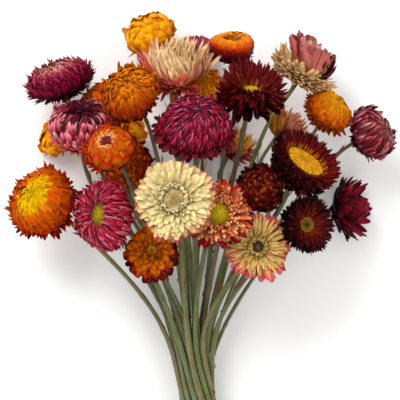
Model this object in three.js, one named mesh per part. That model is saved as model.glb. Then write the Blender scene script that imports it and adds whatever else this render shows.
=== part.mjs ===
// A bunch of thirty dried strawflowers, lying down. Millimetres, +Z up.
// The bunch lies along Y: flower heads toward +Y, cut stem ends toward -Y. The floor is Z = 0.
// Each flower is a head, turned about its own facing direction, and a thin stem that bends
// from the back of the head to the waist where the stems cross, and on to its cut end.
import * as THREE from 'three';

// ---- driving dimensions ----
const HEAD_SIDES = 14;        // facets round a head
const STEM_SIDES = 6;         // facets round a stem
const SEAT_RADIUS = 2.6;      // flat seat at the back of a head, where its stem starts

// Colours of the thirty flowers (head) and of the dried stems.
const STEM_COLOUR = 0x77764f;
const COLOURS = {
  crimson_fringed: 0x7d1430,
  golden_cup: 0xe8a012,
  rose_small: 0x9c3a5a,
  cream_pink_side: 0xdcb98c,
  orange_dome: 0xd06a0c,
  amber_small: 0xc0620f,
  mauve_cup: 0xa4546c,
  yellow_small: 0xd8940f,
  gold_small: 0xc8891a,
  orange_red_cup: 0xd2560f,
  russet: 0x8a3c12,
  large_orange: 0xd8740f,
  crimson_open: 0x7a1028,
  large_cream: 0xdccb94,
  burnt_orange: 0xb04c10,
  magenta_dome: 0x96184a,
  bright_orange_small: 0xe07a10,
  orange_red_bowl: 0xc84c10,
  burgundy: 0x4a0c18,
  pink_cup: 0xc08078,
  yellow_orange_bud: 0xdc8410,
  plum_dome: 0x7c2440,
  salmon_fan: 0xb8705c,
  peach_back: 0xb07850,
  dark_red_gold_eye: 0x5c0c14,
  rust_ball: 0x7c1c10,
  maroon: 0x4c0e16,
  wine_star: 0x5a1230,
  salmon_open: 0xd0806a,
  straw_pink: 0xd0a868,
};

// centre: middle of the widest ring. facing: the way the flower looks.
// spread: widest radius. below / above: depth behind and in front of the widest ring.
const FLOWERS = [
  { name: 'crimson_fringed', form: 'dome', centre: [-95.0, 131.35, 42.11], facing: [-0.3222, 0.8659, 0.3826], spread: 22.68, below: 12.19, above: 10.24 },
  { name: 'golden_cup', form: 'cup', centre: [-37.22, 161.68, 34.11], facing: [-0.4236, 0.6555, 0.6252], spread: 15.41, below: 14.09, above: 5.8 },
  { name: 'rose_small', form: 'dome', centre: [-4.1, 150.74, 12.1], facing: [0.0502, 0.9231, 0.3813], spread: 13.13, below: 8.47, above: 8.47 },
  { name: 'cream_pink_side', form: 'open', centre: [-18.3, 136.74, 60.19], facing: [-0.0201, 0.8643, 0.5025], spread: 24.67, below: 14.59, above: 11.14 },
  { name: 'orange_dome', form: 'dome', centre: [-47.48, 118.02, 81.91], facing: [-0.3505, 0.4506, 0.8211], spread: 18.51, below: 10.95, above: 9.95 },
  { name: 'amber_small', form: 'dome', centre: [-70.33, 117.23, 34.78], facing: [-0.5514, 0.7018, 0.4511], spread: 12.31, below: 7.94, above: 6.62 },
  { name: 'mauve_cup', form: 'cup', centre: [-78.72, 101.59, 61.23], facing: [0.03, 0.8207, 0.5705], spread: 19.95, below: 19.3, above: 7.51 },
  { name: 'yellow_small', form: 'cup', centre: [-101.24, 92.81, 11.03], facing: [-0.7756, 0.362, 0.5171], spread: 11.87, below: 10.21, above: 5.11 },
  { name: 'gold_small', form: 'dome', centre: [-50.07, 96.29, 27.11], facing: [0.3813, 0.6537, 0.6537], spread: 12.4, below: 9.33, above: 5.33 },
  { name: 'orange_red_cup', form: 'cup', centre: [-59.49, 83.45, 84.33], facing: [-0.3006, 0.501, 0.8116], spread: 14.83, below: 11.17, above: 7.18 },
  { name: 'russet', form: 'dome', centre: [-50.19, 74.02, 42.11], facing: [0.2517, 0.0503, 0.9665], spread: 15.93, below: 8.57, above: 7.71 },
  { name: 'large_orange', form: 'open', centre: [-105.25, 48.33, 54.11], facing: [-0.3986, 0.299, 0.867], spread: 23.08, below: 11.17, above: 9.43 },
  { name: 'crimson_open', form: 'open', centre: [-63.04, 39.48, 90.11], facing: [-0.4224, 0.0503, 0.905], spread: 21.26, below: 11.43, above: 9.6 },
  { name: 'large_cream', form: 'open', centre: [-17.15, 48.38, 104.78], facing: [-0.0601, 0.1201, 0.9909], spread: 23.95, below: 11.59, above: 8.24 },
  { name: 'burnt_orange', form: 'dome', centre: [-33.18, 13.35, 64.11], facing: [0.0, 0.1005, 0.9949], spread: 16.87, below: 9.07, above: 8.16 },
  { name: 'magenta_dome', form: 'dome', centre: [-5.27, 97.97, 88.03], facing: [-0.0201, 0.5025, 0.8643], spread: 22.44, below: 12.06, above: 12.06 },
  { name: 'bright_orange_small', form: 'dome', centre: [1.22, 124.1, 42.11], facing: [0.0, 0.4512, 0.8924], spread: 12.26, below: 7.91, above: 5.93 },
  { name: 'orange_red_bowl', form: 'cup', centre: [18.94, 152.13, 46.11], facing: [0.02, 0.9021, 0.431], spread: 14.05, below: 12.09, above: 5.29 },
  { name: 'burgundy', form: 'open', centre: [30.42, 117.17, 86.11], facing: [0.0802, 0.501, 0.8617], spread: 21.36, below: 11.48, above: 9.65 },
  { name: 'pink_cup', form: 'cup', centre: [70.41, 141.9, 42.11], facing: [0.4997, 0.8294, 0.2498], spread: 19.0, below: 17.36, above: 10.21 },
  { name: 'yellow_orange_bud', form: 'dome', centre: [83.73, 108.59, 50.11], facing: [0.4504, 0.6006, 0.6606], spread: 14.62, below: 9.43, above: 7.86 },
  { name: 'plum_dome', form: 'dome', centre: [112.59, 93.79, 42.11], facing: [0.7197, 0.3498, 0.5997], spread: 17.16, below: 11.07, above: 9.23 },
  { name: 'salmon_fan', form: 'open', centre: [55.95, 100.33, 26.11], facing: [0.5997, 0.7497, 0.2799], spread: 13.65, below: 11.74, above: 4.4 },
  { name: 'peach_back', form: 'open', centre: [22.17, 90.05, 13.04], facing: [0.4224, 0.8548, 0.3017], spread: 13.73, below: 13.29, above: 5.17 },
  { name: 'dark_red_gold_eye', form: 'open', centre: [63.43, 72.53, 88.11], facing: [0.3794, 0.4493, 0.8088], spread: 22.48, below: 10.88, above: 8.46 },
  { name: 'rust_ball', form: 'dome', centre: [36.92, 57.44, 60.11], facing: [-0.1503, 0.3006, 0.9418], spread: 15.11, below: 9.75, above: 8.94 },
  { name: 'maroon', form: 'open', centre: [65.85, 33.63, 78.64], facing: [0.3505, 0.1001, 0.9312], spread: 17.91, below: 9.63, above: 8.09 },
  { name: 'wine_star', form: 'dome', centre: [97.29, 43.59, 17.28], facing: [0.905, 0.0503, 0.4224], spread: 19.29, below: 10.37, above: 15.55 },
  { name: 'salmon_open', form: 'open', centre: [8.72, 40.74, 89.43], facing: [0.1002, 0.0801, 0.9917], spread: 21.26, below: 10.29, above: 8.23 },
  { name: 'straw_pink', form: 'open', centre: [35.1, 19.49, 77.51], facing: [0.0, 0.0599, 0.9982], spread: 20.83, below: 9.41, above: 6.72 },
];

// line: middle of the stem, from just behind the head to the cut end.
const STEMS = [
  { name: 'crimson_fringed', diameter: 3.0, line: [[-90.94, 120.45, 37.3], [-86.67, 109.38, 32.96], [-81.68, 97.46, 29.67], [-74.02, 80.53, 26.53], [-61.31, 53.66, 22.86], [-48.41, 26.75, 19.98], [-36.14, 0.08, 17.93], [-28.47, -18.75, 17.06], [-23.38, -33.98, 16.79], [-19.83, -48.15, 16.91], [-16.98, -64.51, 17.53], [-12.93, -93.93, 19.7], [-8.43, -118.43, 21.72], [-2.43, -146.74, 24.0], [0.42, -159.97, 25.07]] },
  { name: 'golden_cup', diameter: 3.2, line: [[-31.08, 152.19, 25.06], [-27.86, 146.46, 20.33], [-25.67, 140.94, 17.18], [-23.78, 133.91, 14.57], [-22.23, 125.39, 12.69], [-20.66, 112.51, 11.32], [-18.62, 90.4, 10.51], [-16.12, 60.85, 10.63], [-13.58, 31.54, 11.34], [-11.18, 2.14, 12.15], [-9.76, -23.92, 12.58], [-9.73, -43.25, 12.49], [-10.97, -63.79, 12.05], [-14.16, -93.34, 11.59], [-17.24, -122.64, 11.71], [-20.13, -152.32, 12.09], [-21.96, -171.28, 12.36]] },
  { name: 'rose_small', diameter: 2.6, line: [[-4.55, 142.55, 8.72], [-5.0, 132.95, 5.32], [-5.26, 123.38, 3.31], [-5.37, 112.85, 2.37], [-5.3, 96.97, 2.55], [-4.9, 71.36, 4.41], [-4.27, 41.56, 7.58], [-3.76, 12.08, 10.8], [-3.78, -11.4, 12.62], [-4.33, -28.81, 12.99], [-5.43, -44.14, 12.28], [-7.67, -62.24, 10.43], [-11.17, -81.46, 8.41], [-15.42, -100.44, 7.49], [-22.37, -128.95, 7.62], [-29.5, -157.64, 8.15]] },
  { name: 'cream_pink_side', diameter: 3.8, line: [[-18.0, 123.78, 52.65], [-17.7, 114.37, 47.81], [-17.19, 104.43, 44.22], [-16.31, 92.06, 41.22], [-14.1, 66.93, 37.02], [-11.24, 37.48, 32.89], [-8.4, 8.24, 28.86], [-6.16, -21.34, 24.42], [-5.54, -43.38, 20.69], [-6.03, -67.54, 16.82], [-6.6, -93.99, 13.98], [-6.8, -123.62, 11.66], [-6.94, -152.77, 9.58], [-6.99, -160.85, 9.01]] },
  { name: 'orange_dome', diameter: 3.2, line: [[-43.51, 112.9, 72.59], [-40.58, 108.63, 65.96], [-38.25, 104.1, 61.16], [-35.87, 98.22, 56.73], [-33.44, 90.51, 52.61], [-30.02, 77.25, 47.24], [-25.61, 57.2, 40.57], [-20.9, 32.52, 33.61], [-16.99, 8.94, 28.06], [-14.0, -11.62, 24.3], [-11.76, -29.58, 22.14], [-9.7, -47.97, 21.16], [-5.91, -77.59, 20.86], [-2.6, -100.15, 19.65], [1.49, -129.46, 16.69], [5.42, -158.7, 13.34], [6.36, -165.72, 12.53]] },
  { name: 'amber_small', diameter: 2.6, line: [[-65.73, 111.38, 31.02], [-63.22, 107.62, 28.28], [-61.82, 104.01, 24.95], [-60.74, 97.55, 18.69], [-59.5, 92.86, 15.52], [-57.48, 87.1, 13.07], [-54.15, 78.67, 10.98], [-49.79, 67.77, 9.69], [-44.33, 53.53, 9.4], [-37.54, 34.51, 10.37], [-29.2, 8.53, 12.83], [-22.37, -16.12, 15.14], [-17.64, -36.95, 16.54], [-14.31, -56.58, 17.32], [-11.59, -80.12, 17.58], [-8.91, -109.65, 17.42], [-6.33, -139.46, 17.54], [-3.76, -169.11, 17.77]] },
  { name: 'mauve_cup', diameter: 3.2, line: [[-79.31, 85.42, 49.98], [-79.12, 78.28, 45.38], [-77.91, 71.55, 41.85], [-75.62, 64.27, 38.75], [-71.35, 54.69, 35.48], [-63.35, 39.71, 31.22], [-51.43, 19.5, 26.45], [-39.7, -0.02, 22.94], [-31.27, -15.0, 21.24], [-25.28, -27.19, 20.71], [-20.99, -37.96, 20.99], [-17.58, -49.49, 22.05], [-11.81, -76.23, 25.09], [-8.26, -89.92, 25.63], [-3.44, -105.61, 25.1], [3.49, -126.21, 23.01], [13.06, -153.9, 19.31], [16.57, -164.06, 17.92]] },
  { name: 'yellow_small', diameter: 2.6, line: [[-93.0, 88.97, 5.54], [-88.38, 86.58, 2.95], [-84.23, 83.9, 1.68], [-78.93, 79.54, 1.38], [-72.63, 72.9, 1.76], [-63.79, 61.26, 2.51], [-52.38, 43.84, 3.62], [-40.52, 23.43, 5.17], [-30.7, 4.29, 6.98], [-23.58, -11.94, 8.8], [-18.8, -25.63, 10.43], [-15.84, -37.77, 11.84], [-14.25, -49.34, 13.03], [-13.77, -63.4, 14.18], [-14.47, -93.04, 15.76], [-15.2, -122.82, 16.87], [-15.82, -152.67, 17.83], [-16.04, -163.61, 18.18]] },
  { name: 'gold_small', diameter: 2.6, line: [[-53.78, 89.93, 20.75], [-55.95, 85.37, 16.8], [-57.03, 81.08, 14.21], [-57.3, 75.77, 12.07], [-56.6, 70.03, 10.56], [-54.39, 61.92, 9.33], [-49.82, 49.72, 8.43], [-42.62, 33.45, 8.24], [-32.79, 12.8, 9.2], [-24.17, -6.07, 11.1], [-18.33, -21.13, 13.22], [-14.58, -33.81, 15.16], [-12.01, -46.77, 16.94], [-10.3, -61.27, 18.21], [-8.57, -79.15, 18.57], [-5.86, -106.15, 17.57], [-3.68, -135.62, 15.69], [-2.12, -159.33, 14.09]] },
  { name: 'orange_red_cup', diameter: 3.0, line: [[-56.01, 77.65, 74.94], [-53.47, 73.11, 68.57], [-50.99, 68.0, 63.53], [-48.16, 61.41, 58.82], [-43.94, 50.53, 53.04], [-37.23, 32.13, 45.02], [-30.01, 11.47, 37.36], [-23.72, -7.06, 31.74], [-18.54, -22.75, 28.17], [-13.84, -37.65, 26.0], [-8.98, -54.54, 24.86], [-3.21, -78.14, 23.98], [1.79, -100.96, 21.95], [8.83, -129.39, 18.37], [15.71, -155.26, 14.88]] },
  { name: 'russet', diameter: 3.0, line: [[-52.44, 73.57, 33.45], [-53.68, 72.83, 28.02], [-54.14, 71.38, 24.37], [-54.03, 68.95, 21.41], [-53.36, 65.6, 19.09], [-51.93, 60.77, 17.34], [-49.1, 52.83, 16.04], [-43.91, 39.52, 15.4], [-35.62, 19.04, 15.96], [-25.29, -7.39, 17.9], [-18.99, -26.16, 19.49], [-15.05, -41.49, 20.6], [-12.31, -57.53, 21.38], [-8.82, -83.86, 21.85], [-4.75, -108.65, 20.95], [0.74, -137.89, 19.27], [7.11, -170.35, 17.27]] },
  { name: 'large_orange', diameter: 3.6, line: [[-100.64, 44.87, 44.09], [-97.78, 42.67, 38.84], [-94.64, 40.15, 35.07], [-90.45, 36.66, 31.8], [-85.37, 32.22, 29.28], [-77.29, 24.82, 26.84], [-64.86, 12.73, 24.46], [-51.74, -1.19, 22.74], [-40.99, -14.11, 21.73], [-33.03, -25.42, 21.18], [-27.43, -35.3, 20.92], [-23.0, -45.72, 20.86], [-19.28, -57.79, 21.15], [-13.64, -82.5, 22.79], [-8.61, -102.38, 24.17], [-3.67, -117.99, 24.58], [3.06, -135.78, 24.11], [14.39, -163.35, 22.52], [17.83, -171.62, 22.0]] },
  { name: 'crimson_open', diameter: 3.8, line: [[-58.04, 38.88, 79.41], [-55.14, 38.03, 73.43], [-52.64, 36.21, 68.78], [-49.77, 32.94, 63.95], [-46.51, 27.81, 58.95], [-41.67, 18.55, 52.08], [-35.64, 5.51, 44.04], [-29.77, -8.29, 36.93], [-24.71, -21.05, 31.66], [-20.54, -32.26, 28.27], [-16.98, -42.53, 26.42], [-13.32, -54.14, 25.63], [-7.49, -75.81, 26.0], [-2.57, -93.54, 25.99], [2.53, -108.68, 25.1], [8.91, -125.2, 22.96], [20.04, -152.12, 18.07], [24.14, -161.96, 16.21]] },
  { name: 'large_cream', diameter: 4.2, line: [[-16.43, 46.94, 92.9], [-16.02, 45.57, 86.17], [-15.71, 43.3, 80.99], [-15.4, 39.65, 75.74], [-15.06, 33.86, 69.96], [-14.52, 23.08, 61.47], [-13.8, 8.27, 51.54], [-13.0, -6.42, 43.08], [-12.16, -19.08, 37.05], [-11.27, -30.13, 33.02], [-10.27, -40.24, 30.58], [-8.94, -50.53, 29.26], [-6.46, -63.89, 28.84], [-2.92, -77.28, 28.39], [1.27, -90.32, 26.99], [5.71, -103.08, 24.38], [11.0, -117.46, 20.03], [21.39, -143.77, 10.15], [25.7, -154.52, 5.98]] },
  { name: 'burnt_orange', diameter: 3.2, line: [[-33.18, 12.4, 54.69], [-32.91, 11.46, 49.67], [-32.12, 9.88, 46.16], [-30.57, 7.07, 42.81], [-28.28, 2.99, 39.95], [-23.73, -5.34, 36.22], [-16.78, -19.44, 31.48], [-11.35, -32.74, 27.73], [-7.77, -44.43, 24.92], [-5.17, -56.8, 22.63], [-2.23, -75.78, 20.58], [1.83, -105.2, 17.65], [6.08, -134.48, 14.43], [10.4, -160.28, 11.44]] },
  { name: 'magenta_dome', diameter: 4.0, line: [[-5.02, 91.7, 77.26], [-4.88, 87.14, 70.52], [-4.81, 82.44, 65.69], [-4.8, 76.37, 61.2], [-4.86, 67.7, 56.6], [-5.06, 51.9, 50.15], [-5.36, 28.29, 42.11], [-5.45, 3.2, 34.8], [-5.02, -17.24, 29.87], [-4.03, -33.71, 26.82], [-2.23, -50.1, 24.8], [2.22, -79.29, 22.26], [5.22, -98.81, 19.76], [8.19, -119.83, 15.67], [11.65, -148.15, 9.09], [13.98, -168.14, 4.33]] },
  { name: 'bright_orange_small', diameter: 2.6, line: [[1.22, 120.36, 34.7], [1.18, 116.55, 28.41], [1.1, 112.79, 24.34], [0.94, 107.68, 20.81], [0.71, 101.87, 18.34], [0.36, 93.6, 16.43], [-0.25, 80.36, 14.98], [-1.2, 60.68, 14.35], [-2.67, 30.96, 14.97], [-4.26, 1.25, 16.2], [-6.0, -26.09, 16.75], [-7.97, -50.45, 16.01], [-10.48, -80.27, 14.51], [-11.86, -110.04, 13.61], [-12.39, -139.83, 12.86], [-12.77, -171.89, 12.12]] },
  { name: 'orange_red_bowl', diameter: 3.0, line: [[18.69, 140.86, 40.73], [18.34, 130.43, 36.34], [17.66, 119.48, 33.17], [16.53, 106.65, 30.85], [13.89, 82.41, 28.22], [10.3, 52.96, 25.92], [6.5, 23.84, 23.81], [2.44, -5.53, 21.28], [-1.71, -33.8, 17.88], [-6.21, -62.71, 13.5], [-9.31, -84.19, 11.18], [-12.75, -112.64, 9.46], [-15.85, -142.03, 8.32], [-18.77, -170.62, 7.31]] },
  { name: 'burgundy', diameter: 3.8, line: [[29.47, 111.22, 75.87], [28.69, 106.66, 69.06], [27.81, 101.97, 64.12], [26.56, 95.82, 59.5], [24.87, 87.98, 55.37], [21.88, 74.54, 50.15], [16.8, 52.11, 43.16], [10.57, 24.21, 35.72], [4.81, -3.97, 29.08], [1.18, -26.12, 24.49], [-0.83, -45.01, 21.08], [-1.67, -64.66, 17.98], [-1.91, -94.15, 14.22], [-2.16, -123.76, 11.5], [-2.41, -153.03, 9.32], [-2.58, -174.86, 7.74]] },
  { name: 'pink_cup', diameter: 3.4, line: [[61.53, 127.16, 37.68], [57.6, 121.06, 36.33], [53.55, 115.56, 36.23], [46.14, 105.48, 37.6], [41.93, 98.01, 38.16], [37.15, 87.13, 38.04], [31.72, 72.25, 36.93], [25.15, 51.37, 34.3], [17.24, 23.39, 29.64], [9.8, -5.14, 24.2], [3.04, -33.82, 18.74], [-1.43, -56.95, 14.86], [-5.74, -86.12, 10.47], [-10.04, -115.53, 6.9], [-14.57, -144.31, 4.25], [-19.05, -172.26, 1.86]] },
  { name: 'yellow_orange_bud', diameter: 2.8, line: [[79.3, 102.68, 43.62], [75.37, 97.25, 38.45], [71.92, 92.05, 35.13], [67.99, 85.68, 32.5], [63.13, 77.28, 30.58], [55.1, 62.72, 28.91], [41.62, 37.18, 27.61], [28.45, 10.66, 26.76], [19.68, -8.85, 25.7], [13.96, -23.67, 24.25], [10.04, -36.32, 22.32], [7.33, -48.22, 19.82], [4.68, -66.22, 15.1], [1.99, -86.6, 9.95], [-0.77, -102.89, 6.95], [-5.12, -124.76, 4.37], [-11.86, -156.75, 1.55]] },
  { name: 'plum_dome', diameter: 3.0, line: [[104.33, 89.78, 35.24], [98.29, 86.48, 30.65], [93.14, 82.89, 27.68], [87.53, 78.14, 25.39], [81.26, 71.83, 23.86], [71.99, 61.22, 22.76], [58.75, 44.56, 22.24], [42.36, 22.0, 22.23], [29.14, 2.01, 22.03], [19.78, -13.74, 21.22], [13.13, -26.6, 19.83], [8.01, -38.4, 17.79], [4.01, -50.06, 15.01], [-1.92, -72.64, 9.03], [-6.07, -89.0, 5.65], [-10.46, -104.67, 3.6], [-16.78, -125.31, 2.39], [-26.88, -157.12, 1.64]] },
  { name: 'salmon_fan', diameter: 2.8, line: [[48.67, 91.23, 22.72], [43.09, 83.56, 20.34], [38.4, 75.37, 18.91], [34.05, 65.6, 18.14], [27.89, 48.25, 17.77], [19.63, 20.52, 17.61], [12.65, -5.87, 16.88], [7.79, -25.39, 15.31], [3.83, -41.74, 12.84], [-2.31, -65.66, 7.59], [-6.86, -80.88, 4.59], [-12.07, -96.43, 2.68], [-18.8, -114.99, 1.73], [-29.24, -142.68, 1.56], [-35.35, -158.79, 1.6]] },
  { name: 'peach_back', diameter: 2.8, line: [[16.39, 78.35, 8.91], [13.07, 70.84, 6.75], [10.62, 63.2, 5.69], [8.7, 54.46, 5.51], [6.66, 39.83, 6.49], [4.02, 10.4, 9.66], [1.97, -16.3, 12.15], [0.31, -33.25, 12.73], [-1.6, -47.77, 12.17], [-4.76, -66.38, 10.02], [-9.09, -87.74, 7.35], [-13.7, -106.92, 6.06], [-21.41, -135.65, 5.45], [-28.85, -162.61, 5.16]] },
  { name: 'dark_red_gold_eye', diameter: 4.0, line: [[59.15, 67.47, 79.0], [56.96, 64.07, 73.84], [55.62, 60.14, 69.78], [54.01, 53.93, 65.2], [51.66, 47.97, 61.73], [46.69, 39.07, 57.18], [36.02, 22.92, 49.68], [21.04, 0.52, 40.23], [12.9, -13.29, 34.99], [7.67, -24.32, 31.2], [4.6, -33.35, 28.32], [2.94, -41.93, 25.7], [2.31, -52.4, 22.69], [3.03, -72.32, 17.55], [3.75, -101.3, 10.69], [3.99, -121.9, 6.85], [4.32, -154.64, 2.15]] },
  { name: 'rust_ball', diameter: 3.2, line: [[38.45, 54.39, 50.56], [39.07, 52.16, 45.16], [38.97, 49.7, 41.69], [38.2, 46.12, 38.63], [36.71, 41.53, 36.26], [33.73, 34.12, 34.02], [27.31, 19.52, 31.33], [15.34, -7.69, 27.6], [9.47, -23.07, 25.17], [5.94, -34.86, 22.78], [3.33, -47.46, 19.64], [0.57, -69.59, 13.81], [-1.57, -85.46, 10.91], [-4.45, -105.39, 8.68], [-8.85, -134.84, 6.8], [-12.67, -160.72, 5.44]] },
  { name: 'maroon', diameter: 3.4, line: [[62.34, 32.62, 69.3], [59.86, 31.59, 63.63], [57.23, 29.86, 59.42], [53.72, 26.97, 55.37], [49.06, 22.46, 51.45], [41.49, 14.26, 46.45], [31.17, 1.9, 40.5], [21.96, -10.69, 35.44], [15.45, -21.36, 31.78], [11.0, -30.73, 29.05], [8.29, -39.04, 27.03], [6.68, -48.07, 25.23], [6.03, -59.98, 23.1], [6.14, -85.46, 18.02], [5.25, -104.79, 14.22], [2.43, -132.67, 9.42], [-1.4, -164.39, 3.63]] },
  { name: 'wine_star', diameter: 3.0, line: [[87.54, 43.05, 12.73], [81.52, 42.28, 10.24], [76.62, 40.76, 8.87], [71.24, 38.04, 8.11], [65.68, 34.02, 8.1], [58.19, 27.01, 9.04], [47.82, 15.42, 11.21], [36.05, 0.29, 14.07], [26.65, -13.47, 16.13], [19.49, -25.42, 17.1], [14.22, -35.67, 17.04], [9.9, -45.77, 16.02], [6.22, -56.47, 13.95], [-0.21, -81.06, 7.78], [-4.21, -96.38, 4.86], [-8.98, -112.84, 2.95], [-15.24, -132.9, 1.96], [-24.17, -160.69, 1.69], [-27.22, -170.15, 1.66]] },
  { name: 'salmon_open', diameter: 3.6, line: [[7.65, 39.89, 78.83], [6.94, 38.87, 72.81], [6.19, 37.0, 68.37], [5.17, 33.75, 63.87], [3.9, 28.93, 59.51], [1.85, 20.05, 53.67], [-0.88, 6.44, 46.42], [-3.32, -8.54, 39.75], [-4.8, -21.97, 34.85], [-5.33, -33.62, 31.56], [-5.01, -43.71, 29.6], [-3.72, -54.53, 28.39], [-0.96, -67.73, 27.61], [3.55, -82.95, 26.66], [9.99, -101.4, 24.55], [15.76, -118.69, 21.51], [21.63, -139.75, 16.7], [27.84, -163.76, 10.83]] },
  { name: 'straw_pink', diameter: 3.4, line: [[35.1, 18.9, 67.71], [34.72, 18.18, 62.53], [33.64, 16.79, 58.75], [31.59, 14.31, 55.07], [28.47, 10.53, 51.55], [22.61, 3.19, 46.9], [14.29, -8.26, 41.23], [7.79, -18.89, 36.78], [3.57, -27.86, 33.56], [1.17, -35.47, 31.36], [0.01, -42.97, 29.72], [0.04, -50.3, 28.59], [1.55, -60.01, 27.54], [5.09, -75.1, 25.34], [8.36, -90.52, 21.92], [11.51, -110.53, 16.47], [14.9, -138.73, 8.09], [17.25, -159.36, 1.87]] },
];

// ---- outlines, radius against height, both ends on the axis ----
function outline({ form, spread: R, below: b, above: a }) {
  const seat = SEAT_RADIUS;
  if (form === 'open') {          // flat face with a raised ring round a shallow eye
    return [[0, -b], [seat, -b], [0.55 * R, -0.62 * b], [0.92 * R, -0.25 * b], [R, 0.1 * a],
      [0.86 * R, 0.62 * a], [0.55 * R, a], [0.28 * R, 0.84 * a], [0, 0.8 * a]];
  }
  if (form === 'dome') {          // closed, rounded head
    return [[0, -b], [seat, -b], [0.58 * R, -0.75 * b], [0.9 * R, -0.32 * b], [R, 0.05 * a],
      [0.92 * R, 0.45 * a], [0.7 * R, 0.8 * a], [0.36 * R, 0.98 * a], [0, a]];
  }
  return [[0, -b], [seat, -b], [0.52 * R, -0.8 * b], [0.84 * R, -0.45 * b], [R, 0],   // deep cup
    [0.97 * R, 0.6 * a], [0.76 * R, a], [0.42 * R, 0.8 * a], [0, 0.6 * a]];
}

// A stem's rings stand exactly at the points of its line.
class StemLine extends THREE.CatmullRomCurve3 {
  getUtoTmapping(u) { return u; }
}

const bunch = new THREE.Group();
const flowers = new THREE.Group();
const stems = new THREE.Group();
bunch.add(flowers, stems);

for (const f of FLOWERS) {
  const points = outline(f).map(([r, z]) => new THREE.Vector2(r, z));
  const geometry = new THREE.LatheGeometry(points, HEAD_SIDES);
  geometry.rotateX(Math.PI / 2);                       // the lathe's own axis is Y: turn it to Z
  const head = new THREE.Mesh(geometry, new THREE.MeshStandardMaterial({
    color: COLOURS[f.name], roughness: 0.72, metalness: 0, side: THREE.DoubleSide,
  }));
  head.name = `${f.name}_head`;
  head.position.set(...f.centre);
  head.quaternion.setFromUnitVectors(new THREE.Vector3(0, 0, 1), new THREE.Vector3(...f.facing).normalize());
  flowers.add(head);
}

for (const s of STEMS) {
  const r = s.diameter / 2;
  const section = new THREE.Shape();
  for (let k = 0; k < STEM_SIDES; k++) {
    const t = (2 * Math.PI * k) / STEM_SIDES;
    if (k === 0) section.moveTo(r * Math.cos(t), r * Math.sin(t));
    else section.lineTo(r * Math.cos(t), r * Math.sin(t));
  }
  section.closePath();
  const line = new StemLine(s.line.map((p) => new THREE.Vector3(...p)), false, 'centripetal');
  const geometry = new THREE.ExtrudeGeometry(section, {
    steps: s.line.length - 1, bevelEnabled: false, extrudePath: line,
  });
  const stem = new THREE.Mesh(geometry, new THREE.MeshStandardMaterial({
    color: STEM_COLOUR, roughness: 0.85, metalness: 0,
  }));
  stem.name = `${s.name}_stem`;
  stems.add(stem);
}

export default bunch;
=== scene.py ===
"""Dried strawflower bunch: papery flower heads, floret discs, ridged stems, and the studio it lies in.

Every length is in metres. The bunch lies on the floor z = 0, heads toward +Y, cut ends toward -Y.
"""

import math

import bpy
import numpy as np
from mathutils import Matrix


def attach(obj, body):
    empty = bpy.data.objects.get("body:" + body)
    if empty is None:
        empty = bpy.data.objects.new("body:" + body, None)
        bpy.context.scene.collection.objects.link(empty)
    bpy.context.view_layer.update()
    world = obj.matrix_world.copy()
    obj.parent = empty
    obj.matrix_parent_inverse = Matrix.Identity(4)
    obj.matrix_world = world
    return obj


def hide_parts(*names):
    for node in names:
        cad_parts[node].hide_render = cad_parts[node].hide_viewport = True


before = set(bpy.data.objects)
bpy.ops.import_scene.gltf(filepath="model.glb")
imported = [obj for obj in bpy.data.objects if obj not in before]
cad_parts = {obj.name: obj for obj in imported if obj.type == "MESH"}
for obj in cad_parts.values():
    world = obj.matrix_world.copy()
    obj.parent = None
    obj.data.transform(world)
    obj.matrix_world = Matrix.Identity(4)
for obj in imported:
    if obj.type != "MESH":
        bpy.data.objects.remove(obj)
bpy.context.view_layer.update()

GOLDEN = math.pi * (3 - math.sqrt(5))
SPREAD = 1 / 0.93  # a head's bract tips reach this far past its solid
MM = 0.001


def lin(c):
    """A colour given as 0-255 display values, as linear light."""
    c = np.asarray(c, float) / 255
    return np.where(c <= 0.04045, c / 12.92, ((c + 0.055) / 1.055) ** 2.4)


def smooth(a, b, x):
    x = np.clip((x - a) / (b - a), 0, 1)
    return x * x * (3 - 2 * x)


def axes(n):
    """Across n: ex, as near the row's +X as it goes, and ey, so that ex, ey and n are right-handed."""
    n = np.asarray(n, float)
    n = n / np.linalg.norm(n)
    ex = np.array([1.0, 0, 0]) - n * n[0]
    ex /= np.linalg.norm(ex)
    return ex, np.cross(n, ex), n


class Sheet:
    """Gathers vertices, faces, colours and paint coordinates for one mesh."""

    def __init__(self):
        self.v, self.f3, self.f4, self.c, self.p, self.n = [], [], [], [], [], 0
        self.uv3, self.uv4 = [], []

    def add(self, verts, quads, tris, colour, paint, uvq, uvt):
        """quads and tris index verts; uvq and uvt hold each corner's place in a cell (cell, x, y)."""
        self.v.append(verts)
        self.c.append(colour)
        self.p.append(paint)
        self.f4.append(quads + self.n)
        self.f3.append(tris + self.n)
        self.uv4.append(uvq)
        self.uv3.append(uvt)
        self.n += len(verts)


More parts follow.
